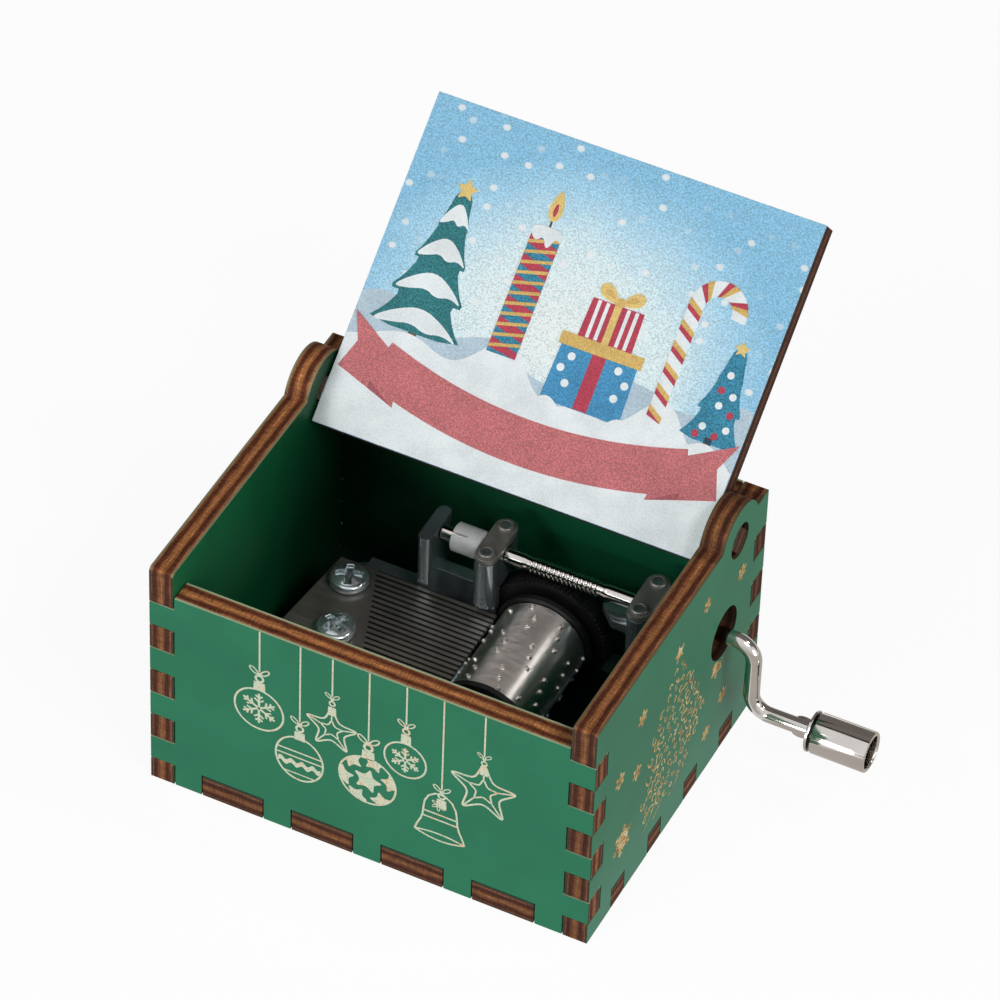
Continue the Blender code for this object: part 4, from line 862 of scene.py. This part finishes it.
def tree_and_flakes(draw, hole=None):
    """Hooks in rows fill the tree between its two sides; strokes of the flakes that meet a hole are left out."""
    draw.fill(star((-0.9, 31.4), 1.75, 0.6, start=100))
    for row, level in enumerate(np.arange(7.8, 30.2, ROW_STEP)):
        left, right_end = (np.interp(level, *zip(*side)) for side in (TREE_LEFT, TREE_RIGHT))
        for column, place in enumerate(np.arange(left + 0.6 + 0.9 * (row % 2), right_end - 0.2, HOOK_STEP)):
            wobble = math.sin(12.9 * row + 7.3 * column)
            start = 100 * wobble + 140 * (column % 3)
            hand = 1 if (row + column) % 2 else -1
            hook = curl((place, level + 0.3 * wobble), 0.68 + 0.2 * wobble, start, hand)
            draw.stroke(hook, 0.27 + 0.05 * wobble)
            if (3 * row + 2 * column) % 7 == 0:
                draw.fill(star((place + 0.5, level + 0.6), 0.5, 0.2, each=2, soft=0, start=30 * column))
    for start, end in (((-9.2, 5.9), (-4.6, 9.6)), ((-6.4, 5.6), (-2.6, 8.4)), ((-1.6, 5.7), (1.9, 7.9))):
        draw.stroke(line(start, end, 8) - spots(0.0, 0.4 * np.sin(np.linspace(0, math.pi, 8))), 0.2)
    tree = len(draw.shapes)
    for centre, size in FLAKES:
        flake(draw, centre, size, 0.34 if size < 2 else 0.42, start=80.0)
        if size > 1.5:
            flake(draw, centre, size * 0.62, 0.34, start=50.0)
    if hole:
        plane = np.stack([draw.across, draw.upward], axis=1)
        away = [np.linalg.norm((points - draw.origin) @ plane - hole, axis=1).min() for points, _ in draw.shapes]
        draw.shapes = [shape for k, shape in enumerate(draw.shapes) if k < tree or away[k] > HOLE_KEEP]


print("snowflakes round the tree:", len(FLAKES))

# %% [markdown]
# ### The wood in the lines
# Where the paint is burnt away, pale wood shows in cream and peach patches with browner specks. The side is
# scorched deeper, so its lines are golden with dark brown breaks. Both are a ramp over wide patches times a
# ramp over fine specks.


# %% Bare wood finish, and the engraved panels
def burnt_wood(name, colour, roughness, patches, tones, specks, darks):
    """Wood in a burnt line: patches of three tones, darkened by specks, each with so many waves to the metre."""
    made = Finish(name, colour, roughness)
    speck = made.noise(made.place, specks, 3.0, 0.6)
    tone = made.ramp(made.noise(made.place, patches, 3.0, 0.6), tones)
    made.set("Base Color", made.vector("MULTIPLY", tone, made.ramp(speck, darks)))
    made.bump(speck, 0.4, 0.00003)
    return made


CREAM = [(0.36, (0.56, 0.64, 0.48)), (0.54, (0.66, 0.66, 0.49)), (0.70, (0.70, 0.54, 0.34))]
GOLDEN = [(0.34, (0.70, 0.62, 0.38)), (0.50, (0.66, 0.43, 0.15)), (0.66, (0.28, 0.13, 0.04))]
engraved = burnt_wood("bare_wood", (0.70, 0.62, 0.44), 0.75, 520.0, CREAM, 3500.0, [(0.30, 0.45), (0.48, 1.0)])
scorched = burnt_wood(
    "scorched_wood", (0.62, 0.44, 0.20), 0.7, 900.0, GOLDEN, 4200.0, [(0.34, 0.35), (0.5, 1.05)]
)
for name, drawing, finish, origin, across, *hole in (
    ("front_engraving", hanging_ornaments, engraved, (0, -HALF_DEPTH, 0), (1, 0, 0)),
    ("back_engraving", hanging_ornaments, engraved, (0, HALF_DEPTH, 0), (-1, 0, 0)),
    ("right_engraving", tree_and_flakes, scorched, (HALF_WIDTH, 0, 0), (0, 1, 0), CRANK_HOLE),
    ("left_engraving", tree_and_flakes, scorched, (-HALF_WIDTH, 0, 0), (0, -1, 0)),
):
    panel = Panel(origin, across, (0, 0, 1))
    drawing(panel, *hole)
    piece(name, together(panel.shapes), finish, "case")

# %% [markdown]
# ## The printed lid
# The lid's inner face carries a colour print. Ink on coarse plywood breaks up into grains a quarter of a
# millimetre wide, so every ink shares one grain that darkens and lightens it. The winter sky is a formula:
# paler in the middle, deeper blue towards the corners, with soft snow dots thrown by a cell pattern.

# %% Ink and sky
LID_MIDDLE, LID_HALF_HIGH, LID_HALF_WIDE = 18.8 * MM, 24.0 * MM, 30.0 * MM
PEG_FROM = 28.25 * MM
GRAIN_SCALE = 4400.0
SNOW_CELLS = 6.2
SKY = [
    (0.12, (0.90, 0.99, 0.98)),
    (0.50, (0.77, 0.94, 0.98)),
    (0.82, (0.42, 0.72, 0.92)),
    (1.0, (0.29, 0.60, 0.83)),
]


def grained(made, colour, low, high):
    """A colour broken up by the print's grain."""
    grain = made.noise(made.place, GRAIN_SCALE, 2.0, 0.5)
    return made.vector("MULTIPLY", colour, made.ramp(grain, [(0.36, low), (0.64, high)]))


def ink(name, colour, low, high):
    """A printed colour: its cloudiness first, then the grain."""
    made = Finish(name, colour, 0.55)
    flat = made.ramp(made.noise(made.place, 260.0, 3.0, 0.5), levels(colour, (0.3, 0.92), (0.7, 1.07)))
    made.set("Base Color", grained(made, flat, low, high))
    made.set("Specular IOR Level", 0.3)
    made.bump(made.noise(made.place, GRAIN_SCALE, 2.0, 0.5), 0.25, 0.00002)
    return made


def winter_sky(made, split, depth, paint):
    """The sky on the printed face and the plain paint on the other, told apart by depth; the pegs stay bare."""
    along = made.math("DIVIDE", made.math("SUBTRACT", split["Y"], LID_MIDDLE), LID_HALF_HIGH)
    spot = made.node("CombineXYZ", made.math("DIVIDE", split["Z"], -LID_HALF_WIDE), along, 0.0)
    from_glow = made.vector("LENGTH", made.vector("SUBTRACT", spot, (-0.02, -0.1, 0.0)))
    tone = made.ramp(made.stirred(from_glow, made.noise(made.place, 120.0, 3.0, 0.6), 0.25), SKY)
    cells = made.node("TexVoronoi", spot, None, SNOW_CELLS, voronoi_dimensions="2D").node.outputs
    dot = made.ramp(cells["Distance"], [(0.085, 1.0), (0.135, 0.0)])
    chosen = made.ramp(cells["Color"], [(0.30, 0.15), (0.55, 0.85)])
    snowy = made.mix(made.math("MULTIPLY", dot, chosen), grained(made, tone, 0.76, 1.20), (0.93, 0.96, 0.97))
    inner = made.math("GREATER_THAN", depth, 0.0)
    peg = made.math("GREATER_THAN", made.math("ABSOLUTE", split["Z"]), PEG_FROM)
    streak = made.noise(made.node("Mapping", made.place, None, None, (1.0, 1.0, 6.0)), 900.0, 3.0, 0.6)
    bare = made.ramp(streak, [(0.35, (0.05, 0.03, 0.022)), (0.65, (0.17, 0.115, 0.085))])
    return made.mix(peg, made.mix(inner, paint, snowy), bare)


LID_TURN = (-LID_LEAN, QUARTER, 0.0)
# the lid's cut edges are darkened by its edge factor: painted shade
lid_ply = plywood("printed_ply_lid", HINGE, LID_TURN, pale=(0.10, 0.05, 0.03), over=winter_sky, edge_painted_light=0.5)
softened("lid_panel", "lid_panel_printed", 0.06 * MM, lid_ply, "lid")
print("lid finish:", lid_ply.material.name)

# %% [markdown]
# ### A generic winter picture
# The picture is a plain one of its own: snow heaps, fir trees, a striped candle, parcels, a candy cane and a
# red ribbon. Each patch of ink is a thin plate, a hundredth of a millimetre above the one behind it, as
# screen-printed inks lie on each other.

# %% Outlines of the picture
LID_UP = np.array((0.0, math.cos(LID_LEAN), math.sin(LID_LEAN)))
LID_OUT = np.array((0.0, -math.sin(LID_LEAN), math.cos(LID_LEAN)))
LID_SIDE, LID_FOOT = 28.12, -4.52
LAYER = 0.012 * MM


def soft(outline, times=2):
    """Corners cut twice or more: every edge keeps its middle half, and the cuts blend into curves."""
    outline = np.array(outline, float)
    for _ in range(times):
        after = np.roll(outline, -1, 0)
        outline = np.stack([0.75 * outline + 0.25 * after, 0.25 * outline + 0.75 * after], axis=1).reshape(-1, 2)
    return outline


def heaps(base, bumps):
    """Snow heaps: a base level plus bell curves of (place, height, width), closed along the lid's foot."""
    s = np.linspace(-LID_SIDE, LID_SIDE, 110)
    t = np.full_like(s, base)
    for place, height, width in bumps:
        t += height * np.exp(-(((s - place) / width) ** 2))
    return np.concatenate([spots(s, t), [(LID_SIDE, LID_FOOT), (-LID_SIDE, LID_FOOT)]])


def fir(x, foot, top, half, tiers=4):
    """A fir tree's outline: tiers of drooping branches that narrow towards the top."""
    side = []
    for k in range(tiers):
        low = foot + (top - foot) * k / tiers
        high = foot + (top - foot) * (k + 1) / tiers
        wide = half * (1 - k / tiers) ** 0.9 + 0.25
        side += [(wide, low), (wide * 0.72, low + (high - low) * 0.42), (wide * 0.5, high)]
    side = np.array(side + [(0.12, top)])
    return soft(np.concatenate([side + (x, 0), (side * (-1, 1))[::-1] + (x, 0)]), 1)


def band(centre_line, half_wide):
    """A band of a half width on both sides of a line."""
    side = sideways(centre_line) * half_wide
    return np.concatenate([centre_line + side, (centre_line - side)[::-1]])


def stripes(centre_line, half_wide, count, slant, first=0):
    """Slanted stripes along a bent bar: every second slice of it, sheared along its length."""
    n = len(centre_line)
    place = np.linspace(0, n - 1, 2 * count + 1)
    both = band(centre_line, half_wide)

    def along(side, where):
        return spots(*[np.interp(np.clip(where, 0, n - 1), np.arange(n), side[:, i]) for i in (0, 1)])

    cut = []
    for k in range(first, 2 * count, 2):
        where = np.linspace(place[k], place[k + 1], 5)
        cut.append(np.concatenate([along(both[:n], where + slant), along(both[n:][::-1], where - slant)[::-1]]))
    return cut


def block(left, low, right_side, high, taper=0.0):
    """A block with upright sides, or narrower at its top by a taper on each side."""
    return [(left, low), (right_side, low), (right_side - taper, high), (left + taper, high)]


def dots(radius, steps, *places):
    """Equal round dots at several places."""
    return [circle(place, radius, steps) for place in places]


print("the print is", round(2 * LID_SIDE, 2), "mm wide, and an ink is", round(LAYER / MM, 3), "mm thick")

# %% The picture's patches, colour by colour
INKS = {
    "snow": ((0.91, 0.97, 0.99), 0.91, 1.03),
    "shade": ((0.52, 0.66, 0.76), 0.85, 1.12),
    "teal": ((0.045, 0.26, 0.40), 0.55, 1.35),
    "pine": ((0.03, 0.20, 0.22), 0.55, 1.35),
    "red": ((0.60, 0.185, 0.195), 0.72, 1.22),
    "deep": ((0.42, 0.12, 0.135), 0.72, 1.22),
    "crimson": ((0.52, 0.06, 0.10), 0.75, 1.2),
    "gold": ((0.74, 0.50, 0.16), 0.80, 1.15),
    "flame": ((0.85, 0.62, 0.22), 0.85, 1.1),
    "bark": ((0.13, 0.07, 0.05), 0.7, 1.2),
    "blue": ((0.07, 0.31, 0.56), 0.7, 1.25),
}
patches = {name: Panel(np.array(HINGE) + LID_OUT * PLY / 2, (1, 0, 0), LID_UP) for name in INKS}


def lay(colour, level, *outlines):
    """Outlines printed in a colour on a level of ink."""
    for outline in outlines:
        patches[colour].fill(outline, (level + 1) * LAYER)


# the far heaps, the big fir with its snow, and the near heaps
lay("shade", 0, heaps(9.5, ((-25, 5.5, 7), (-9, 4.0, 6), (12, 5.0, 8), (27, 6.5, 6))))
lay("bark", 1, block(-20.2, 6.0, -18.8, 12.0, 0.1))
lay("pine", 2, fir(-19.5, 10.8, 30.5, 6.8))
for z, half in ((10.9, 6.6), (15.9, 5.2), (20.8, 3.8), (25.7, 2.3)):
    drape = [(-half, z), (-half * 0.55, z + 2.2), (0, z + 3.6), (half * 0.55, z + 2.2), (half, z)]
    hem = [(half * 0.6, z + 0.9), (half * 0.25, z + 0.2), (-half * 0.1, z + 1.1), (-half * 0.5, z + 0.4)]
    lay("snow", 3, soft(np.array(drape + hem) + (-19.5, 0)))
lay("flame", 4, star((-19.5, 31.0), 1.7, 0.75))
lay("snow", 3, heaps(7.6, ((-20, 3.0, 6), (-6.5, 6.5, 4.6), (16.5, 6.0, 4.2), (6, 1.5, 3))))

# the candle: its body, its stripes and bands, the wax on top, the wick and the flame
candle = line((-7.0, 12.0), (-7.0, 29.5), 60)
lay("teal", 4, band(candle, 2.1))
lay("crimson", 5, *stripes(candle, 2.1, 6, 2.0))
lay("gold", 6, *[band(line((-9.1, z - 0.55), (-4.9, z + 0.55)), 0.22) for z in np.linspace(13.4, 28.0, 11)])
wax = [(-9.2, 30.0), (-4.8, 30.0), (-4.8, 28.2), (-5.6, 28.9), (-6.4, 26.8), (-7.3, 28.7), (-8.2, 27.7), (-9.2, 28.6)]
lay("snow", 7, soft(wax))
lay("bark", 4, band(line((-7.0, 29.6), (-7.0, 31.4), 4), 0.14))
lay("flame", 5, soft([(-7.0, 35.6), (-6.0, 33.0), (-6.1, 31.4), (-7.0, 30.6), (-7.9, 31.4), (-8.0, 33.0)], 3))
lay("crimson", 6, soft([(-7.0, 33.6), (-6.6, 32.2), (-7.0, 31.2), (-7.4, 32.2)]))

# the two parcels and their bow
lay("blue", 4, block(0.0, 8.5, 11.5, 17.0, 0.3))
lay("snow", 5, *dots(0.55, 16, (2.2, 15.0), (2.6, 11.4), (8.9, 15.2), (9.6, 11.6), (1.3, 13.2), (10.4, 13.6)))
lay("crimson", 5, block(4.8, 8.6, 6.8, 17.0))
lay("gold", 6, block(-0.2, 16.2, 11.7, 17.9))
lay("crimson", 4, block(1.9, 17.9, 9.7, 23.3, 0.2))
lay("snow", 5, *[block(x, 18.0, x + 0.5, 23.2) for x in (2.9, 4.1, 7.1, 8.3)])
lay("flame", 6, block(5.3, 17.9, 6.3, 23.3))
for sign in (-1, 1):
    wing = np.array([(0, 0), (1.6, 2.3), (3.3, 2.0), (3.1, 0.5), (1.2, -0.1)])
    fold = np.array([(0.4, 0.3), (1.7, 1.6), (2.5, 1.4), (2.3, 0.7)])
    lay("flame", 7, soft(wing * (sign, 1) + (5.8, 23.5)))
    lay("gold", 8, soft(fold * (sign, 1) + (5.8, 23.5)))
lay("gold", 9, circle((5.8, 23.7), 0.65, 18))

# the candy cane, the small fir with its balls, and the front heaps
bend = np.linspace(math.pi, -0.15, 26)
hook = spots(18.6 + 3.0 * np.cos(bend), 26.9 + 3.0 * np.sin(bend))
cane = np.concatenate([line((15.6, 10.5), (15.6, 26.6), 40), hook])
lay("snow", 4, band(cane, 1.05))
lay("crimson", 5, *stripes(cane, 1.07, 9, 1.6))
lay("gold", 6, *stripes(cane, 1.09, 18, 1.6, first=1)[::2])
lay("bark", 4, block(23.0, 8.0, 24.2, 11.0, 0.1))
lay("teal", 4, fir(23.6, 10.2, 23.0, 4.2, 3))
lay("snow", 5, *dots(0.5, 14, (22.2, 12.2), (25.4, 12.6), (23.3, 15.4), (24.7, 17.0), (23.4, 19.6)))
lay("crimson", 5, *dots(0.5, 14, (24.2, 11.4), (21.6, 11.0), (22.9, 17.4), (25.2, 14.6)))
lay("flame", 6, star((23.6, 23.3), 1.2, 0.5))
lay("snow", 7, heaps(5.5, ((-24, 3.6, 5), (-12, 3.4, 3.4), (1.0, 3.6, 3.2), (11.5, 3.8, 3.0), (23.5, 4.6, 5))))

# the ribbon, its two tails and their folds
reach = np.linspace(-22.5, 22.5, 90)
lay("red", 9, band(spots(reach, 2.2 + 3.6 * (reach / 22.5) ** 2), 3.1))
tail = np.array([(18.4, 0.6), (19.4, 6.6), (27.9, 11.3), (26.2, 7.5), (27.6, 3.6), (22.6, 2.0)])
fold = np.array([(18.6, 0.7), (22.6, 3.0), (22.55, 2.0)])
for sign in (-1, 1):
    lay("red", 8, tail * (sign, 1))
    lay("deep", 10, fold * (sign, 1))

for name, drawn in patches.items():
    piece("print_" + name, together(drawn.shapes), ink("ink_" + name, *INKS[name]), "lid")
print("patches of ink:", {name: len(drawn.shapes) for name, drawn in patches.items()})

# %% [markdown]
# ## The movement's round and bent pieces
# The crank is one steel rod: turned down where the worm thread is rolled on it, bent twice, pinched into two
# small ears and riveted over inside the knob. It is a circle carried along the rod's bent middle line, with a
# radius that changes on the way. The thread is a thin wire carried along a screw line.

# %% Crank rod with its thread, ears and peened end
SHAFT_Y, SHAFT_Z = 13.6, 22.0
SHAFT_LEFT, ROD_END = -9.2, 47.6
ROD, ROOT = 1.1, 0.92
BEND, KNOB_Z = 2.8, SHAFT_Z - 11.4
NECKS = (2.9, 3.2, 3.45, 3.7, 14.5, 14.75, 15.0, 15.3)
NECK_RADII = (ROD, 1.08, 0.97, ROOT, ROOT, 0.97, 1.08, ROD)
DRUM = np.array((7.45, 0.0, 12.4))
X_AXIS, Y_AXIS, Z_AXIS = np.eye(3)
LOOP = circle((0, 0), 1.0, 28)


def carried(path, radius, loop, lift):
    """A loop carried along a path and scaled at each point by a radius; all lengths in millimetres."""
    way = np.gradient(path, axis=0)
    way /= np.linalg.norm(way, axis=1)[:, None]
    side = np.cross(way, lift)
    side /= np.linalg.norm(side, axis=1)[:, None]
    over = np.cross(side, way)
    flat = loop[None, :, :1] * side[:, None] + loop[None, :, 1:] * over[:, None]
    return tube((path[:, None] + radius[:, None, None] * flat) * MM)


def arc(x, z, start, end):
    """A bend of the rod round (x, z), from one angle in degrees to another."""
    turn = np.radians(np.linspace(start, end, 14))
    return spots(x + BEND * np.cos(turn), SHAFT_Y, z + BEND * np.sin(turn))


end_round = np.linspace(SHAFT_LEFT, SHAFT_LEFT + 0.22, 5)
straight = np.concatenate([end_round, NECKS, [24.0], np.linspace(31.5, 33.5, 4)])
rod_path = np.concatenate(
    [
        spots(straight, SHAFT_Y, SHAFT_Z),
        arc(33.7, SHAFT_Z - BEND, 90, 0),
        arc(39.3, KNOB_Z + BEND, 180, 270),
        [(x, SHAFT_Y, KNOB_Z) for x in (39.9, 42.5, ROD_END)],
    ]
)
size_at = (SHAFT_LEFT, SHAFT_LEFT + 0.06, SHAFT_LEFT + 0.22, *NECKS)
rod_size = np.interp(rod_path[:, 0], size_at, (0.86, 1.02, ROD, *NECK_RADII))

PITCH, THREAD_START, THREAD_END = 0.66759, 3.95, 14.25
WIRE_AT, WIRE = 0.96, 0.24
thread_x = np.linspace(THREAD_START, THREAD_END, 470)
thread_turn = 2 * math.pi * ((thread_x - DRUM[0]) / PITCH - 0.5) - math.pi / 2
thread_y, thread_z = SHAFT_Y + WIRE_AT * np.cos(thread_turn), SHAFT_Z + WIRE_AT * np.sin(thread_turn)
thread_size = WIRE * np.clip(np.minimum(thread_x - THREAD_START, THREAD_END - thread_x) / 0.35, 0.12, 1.0)
thread = carried(spots(thread_x, thread_y, thread_z), thread_size, LOOP[::3], X_AXIS)

EAR_LEFT, EAR_RIGHT = 42.9, 45.2
ear_x = np.linspace(EAR_LEFT, EAR_RIGHT, 24)[:, None]
ear_turn = np.linspace(0, 2 * math.pi, 72, endpoint=False)[None]
swell = np.clip(np.sin(math.pi * (ear_x - EAR_LEFT) / (EAR_RIGHT - EAR_LEFT)), 0, 1) ** 0.45
ridge = 0.94 + 0.06 * np.cos(ear_x * 22.0)
wing = np.exp(-((np.sin(ear_turn - math.radians(45)) / 0.24) ** 2))
ear_radius = 1.07 + 0.38 * swell * ridge * wing
ear_y, ear_z = SHAFT_Y + ear_radius * np.cos(ear_turn), KNOB_Z + ear_radius * np.sin(ear_turn)
ears = tube(spots(ear_x, ear_y, ear_z) * MM)
peen_profile = [(1.5, 0.0), (1.5, 0.18), (1.32, 0.36), (0.9, 0.47), (0.3, 0.5)]
peen = lathe(peen_profile, X_AXIS, (47.1, SHAFT_Y, KNOB_Z), 40)
rod = together([carried(rod_path, rod_size, LOOP, Y_AXIS), thread, ears, peen])
piece("crank_rod", rod, nickel, "crank", ("crank_shaft",), angle=50)
print("rod length along x:", round(ROD_END - SHAFT_LEFT, 1), "mm")

# %% [markdown]
# The knob is a turned and plated cup: a flange, a narrow groove, a barrel and a deep open end. Its finish is
# the rod's nickel with painted shade in the groove: a near black band a quarter of a millimetre to each side
# of the groove's middle. The drum is a thin tube, and each of its pins is a dimple pushed out from the
# inside, so its tip is a small open ring.

# %% Knob and drum
KNOB_X, KNOB = 45.3, 2.85
GROOVE_X, GROOVE_SHADE_HALF = KNOB_X + 0.66, 0.25
knob_profile = [
    (1.18, 0.0), (2.4, 0.0), (2.72, 0.04), (KNOB, 0.15), (KNOB, 0.36), (2.76, 0.45), (2.47, 0.46), (2.45, 0.5),
    (2.45, 0.80), (2.48, 0.84), (2.74, 0.86), (2.82, 0.91), (KNOB, 1.02), (KNOB, 4.6), (KNOB, 8.42), (2.80, 8.60),
    (2.68, 8.68), (2.55, 8.7), (2.36, 8.66), (2.27, 8.55), (2.25, 8.4), (2.25, 5.0), (2.25, 1.8), (2.18, 1.72),
    (1.9, 1.7), (1.18, 1.7),
]
knob_finish = nickelled("knob_nickel")
from_groove = knob_finish.math("SUBTRACT", knob_finish.parts(knob_finish.place)["X"], GROOVE_X * MM)
off = knob_finish.math("DIVIDE", knob_finish.math("ABSOLUTE", from_groove), GROOVE_SHADE_HALF * MM)
# painted shade: the nickel is darkened to near black across the groove
knob_finish.tint(knob_finish.ramp(off, [(0.80, 0.04), (1.0, 1.0)]))
knob = lathe(knob_profile, X_AXIS, (KNOB_X, SHAFT_Y, KNOB_Z), ring=True)
piece("knob_barrel", knob, knob_finish, "knob", ("crank_knob",), angle=35)

DRUM_OUT, DRUM_IN, DRUM_FRONT, DRUM_REAR = 6.25, 5.75, -6.71, 10.35
PINS_TO_A_TRACK = 4
drum_profile = [
    (DRUM_IN, DRUM_FRONT), (DRUM_OUT - 0.1, DRUM_FRONT), (DRUM_OUT, DRUM_FRONT + 0.09), (DRUM_OUT, 1.8),
    (DRUM_OUT, DRUM_REAR - 0.09), (DRUM_OUT - 0.1, DRUM_REAR), (DRUM_IN, DRUM_REAR),
]
pin_profile = [
    (0.40, -0.08), (0.38, 0.02), (0.31, 0.07), (0.28, 0.20), (0.26, 0.31), (0.21, 0.35), (0.15, 0.32),
    (0.12, 0.12), (0.03, 0.10),
]
shapes = [lathe(drum_profile, Y_AXIS, DRUM, 128, ring=True)]
for t in range(TEETH):
    for k in range(PINS_TO_A_TRACK):
        turn = math.radians((t * 137.5) % 90 + 90 * k + 12 * math.sin(2.1 * t + 1.7 * k))
        out = np.array((math.cos(turn), 0.0, math.sin(turn)))
        spot = DRUM + (0, TEETH_REAR - (t + 0.5) * TOOTH_STEP, 0) + out * DRUM_OUT
        shapes.append(lathe(pin_profile, out, spot, 14))
piece("drum_shell", together(shapes), drum_nickel, "drum", ("pin_drum",), angle=35)
print("pins on the drum:", len(shapes) - 1)

# %% [markdown]
# The comb's screws have domed heads with a wide cross recess. Such a head is one surface over a disc: its
# height is the dome less the recess, whose walls fall within a tenth of a millimetre. Rivet heads are staked
# over the straps and keep the shallow dimple of the punch. Two low rings stand on the wheel round the drum.

# %% Screws and rivet heads
HEAD, COMB_TOP = 2.75, 14.3
RIM, CORNER, DOME = 0.55, 0.62, 0.53
ARM_HALF, ARM_LONG, HUB = 0.52, 1.95, 0.86
STRAPS, RIVET_SIDE = (-1.3, 21.0), 2.9


def cross_screw(centre, turn):
    """Rings run up the head's side and in over the dome; the recess is cut where the rings cross it."""
    side = [(HEAD - 0.12, COMB_TOP), (HEAD, COMB_TOP + 0.12), (HEAD, COMB_TOP + RIM)]
    lean = np.linspace(0, math.pi / 2, 9)[1:]
    shoulder = [(HEAD - CORNER * (1 - math.cos(v)), COMB_TOP + RIM + CORNER * math.sin(v)) for v in lean]
    inward = np.linspace(HEAD - 0.66, 0.02, 56)
    dome = COMB_TOP + RIM + CORNER + DOME * (1 - (inward / (HEAD - CORNER)) ** 2)
    rings = np.array(side + shoulder + list(zip(inward, dome)))
    angle = np.linspace(0, 2 * math.pi, 144, endpoint=False)
    x, y = rings[:, :1] * np.cos(angle), rings[:, :1] * np.sin(angle)
    u = np.abs(x * math.cos(turn) + y * math.sin(turn))
    v = np.abs(-x * math.sin(turn) + y * math.cos(turn))
    away = np.hypot(u, v)

    def arm(wide, long):
        edge = np.clip((ARM_HALF - wide) / 0.10, 0, 1) * np.clip((ARM_LONG - long) / 0.36, 0, 1)
        return edge * edge * (3 - 2 * edge)

    cut = np.maximum(np.maximum(arm(u, v), arm(v, u)), np.clip((HUB - away) / 0.12, 0, 1))
    deep = 0.55 + 0.45 * np.clip(1 - away / 1.6, 0, 1)
    head = tube(spots(x + centre[0], y + centre[1], rings[:, 1:] - cut * deep) * MM)
    return together([head, lathe([(1.15, 9.4), (1.15, COMB_TOP - 0.02)], Z_AXIS, (*centre, 0.0), 32)])


def cap_ring(radius):
    """A low ring on the wheel's face."""
    profile = [(radius + 0.12, 10.42), (radius + 0.08, 10.37), (radius - 0.08, 10.37), (radius - 0.12, 10.42)]
    return lathe(profile, Y_AXIS, DRUM, ring=True)


for name, centre, turn in (("rear", (-19.3, 6.4), 20.0), ("front", (-16.6, -2.7), -28.0)):
    screw = cross_screw(centre, math.radians(turn))
    piece("screw_" + name, screw, zinc, "case", ("comb_screw_" + name,), angle=50)
rivet = [
    (1.10, 23.9), (1.17, 24.06), (1.15, 24.28), (1.04, 24.40), (0.88, 24.44), (0.72, 24.41), (0.60, 24.30),
    (0.42, 24.24), (0.2, 24.25), (0.02, 24.26),
]
heads = [lathe(rivet, Z_AXIS, (x, SHAFT_Y + y, 0.0), 40) for x in STRAPS for y in (-RIVET_SIDE, RIVET_SIDE)]
piece("rivet_heads", together(heads), oiled, "case", angle=50)
piece("cap_rings", together([cap_ring(6.48), cap_ring(6.76)]), black, "drum", angle=50)
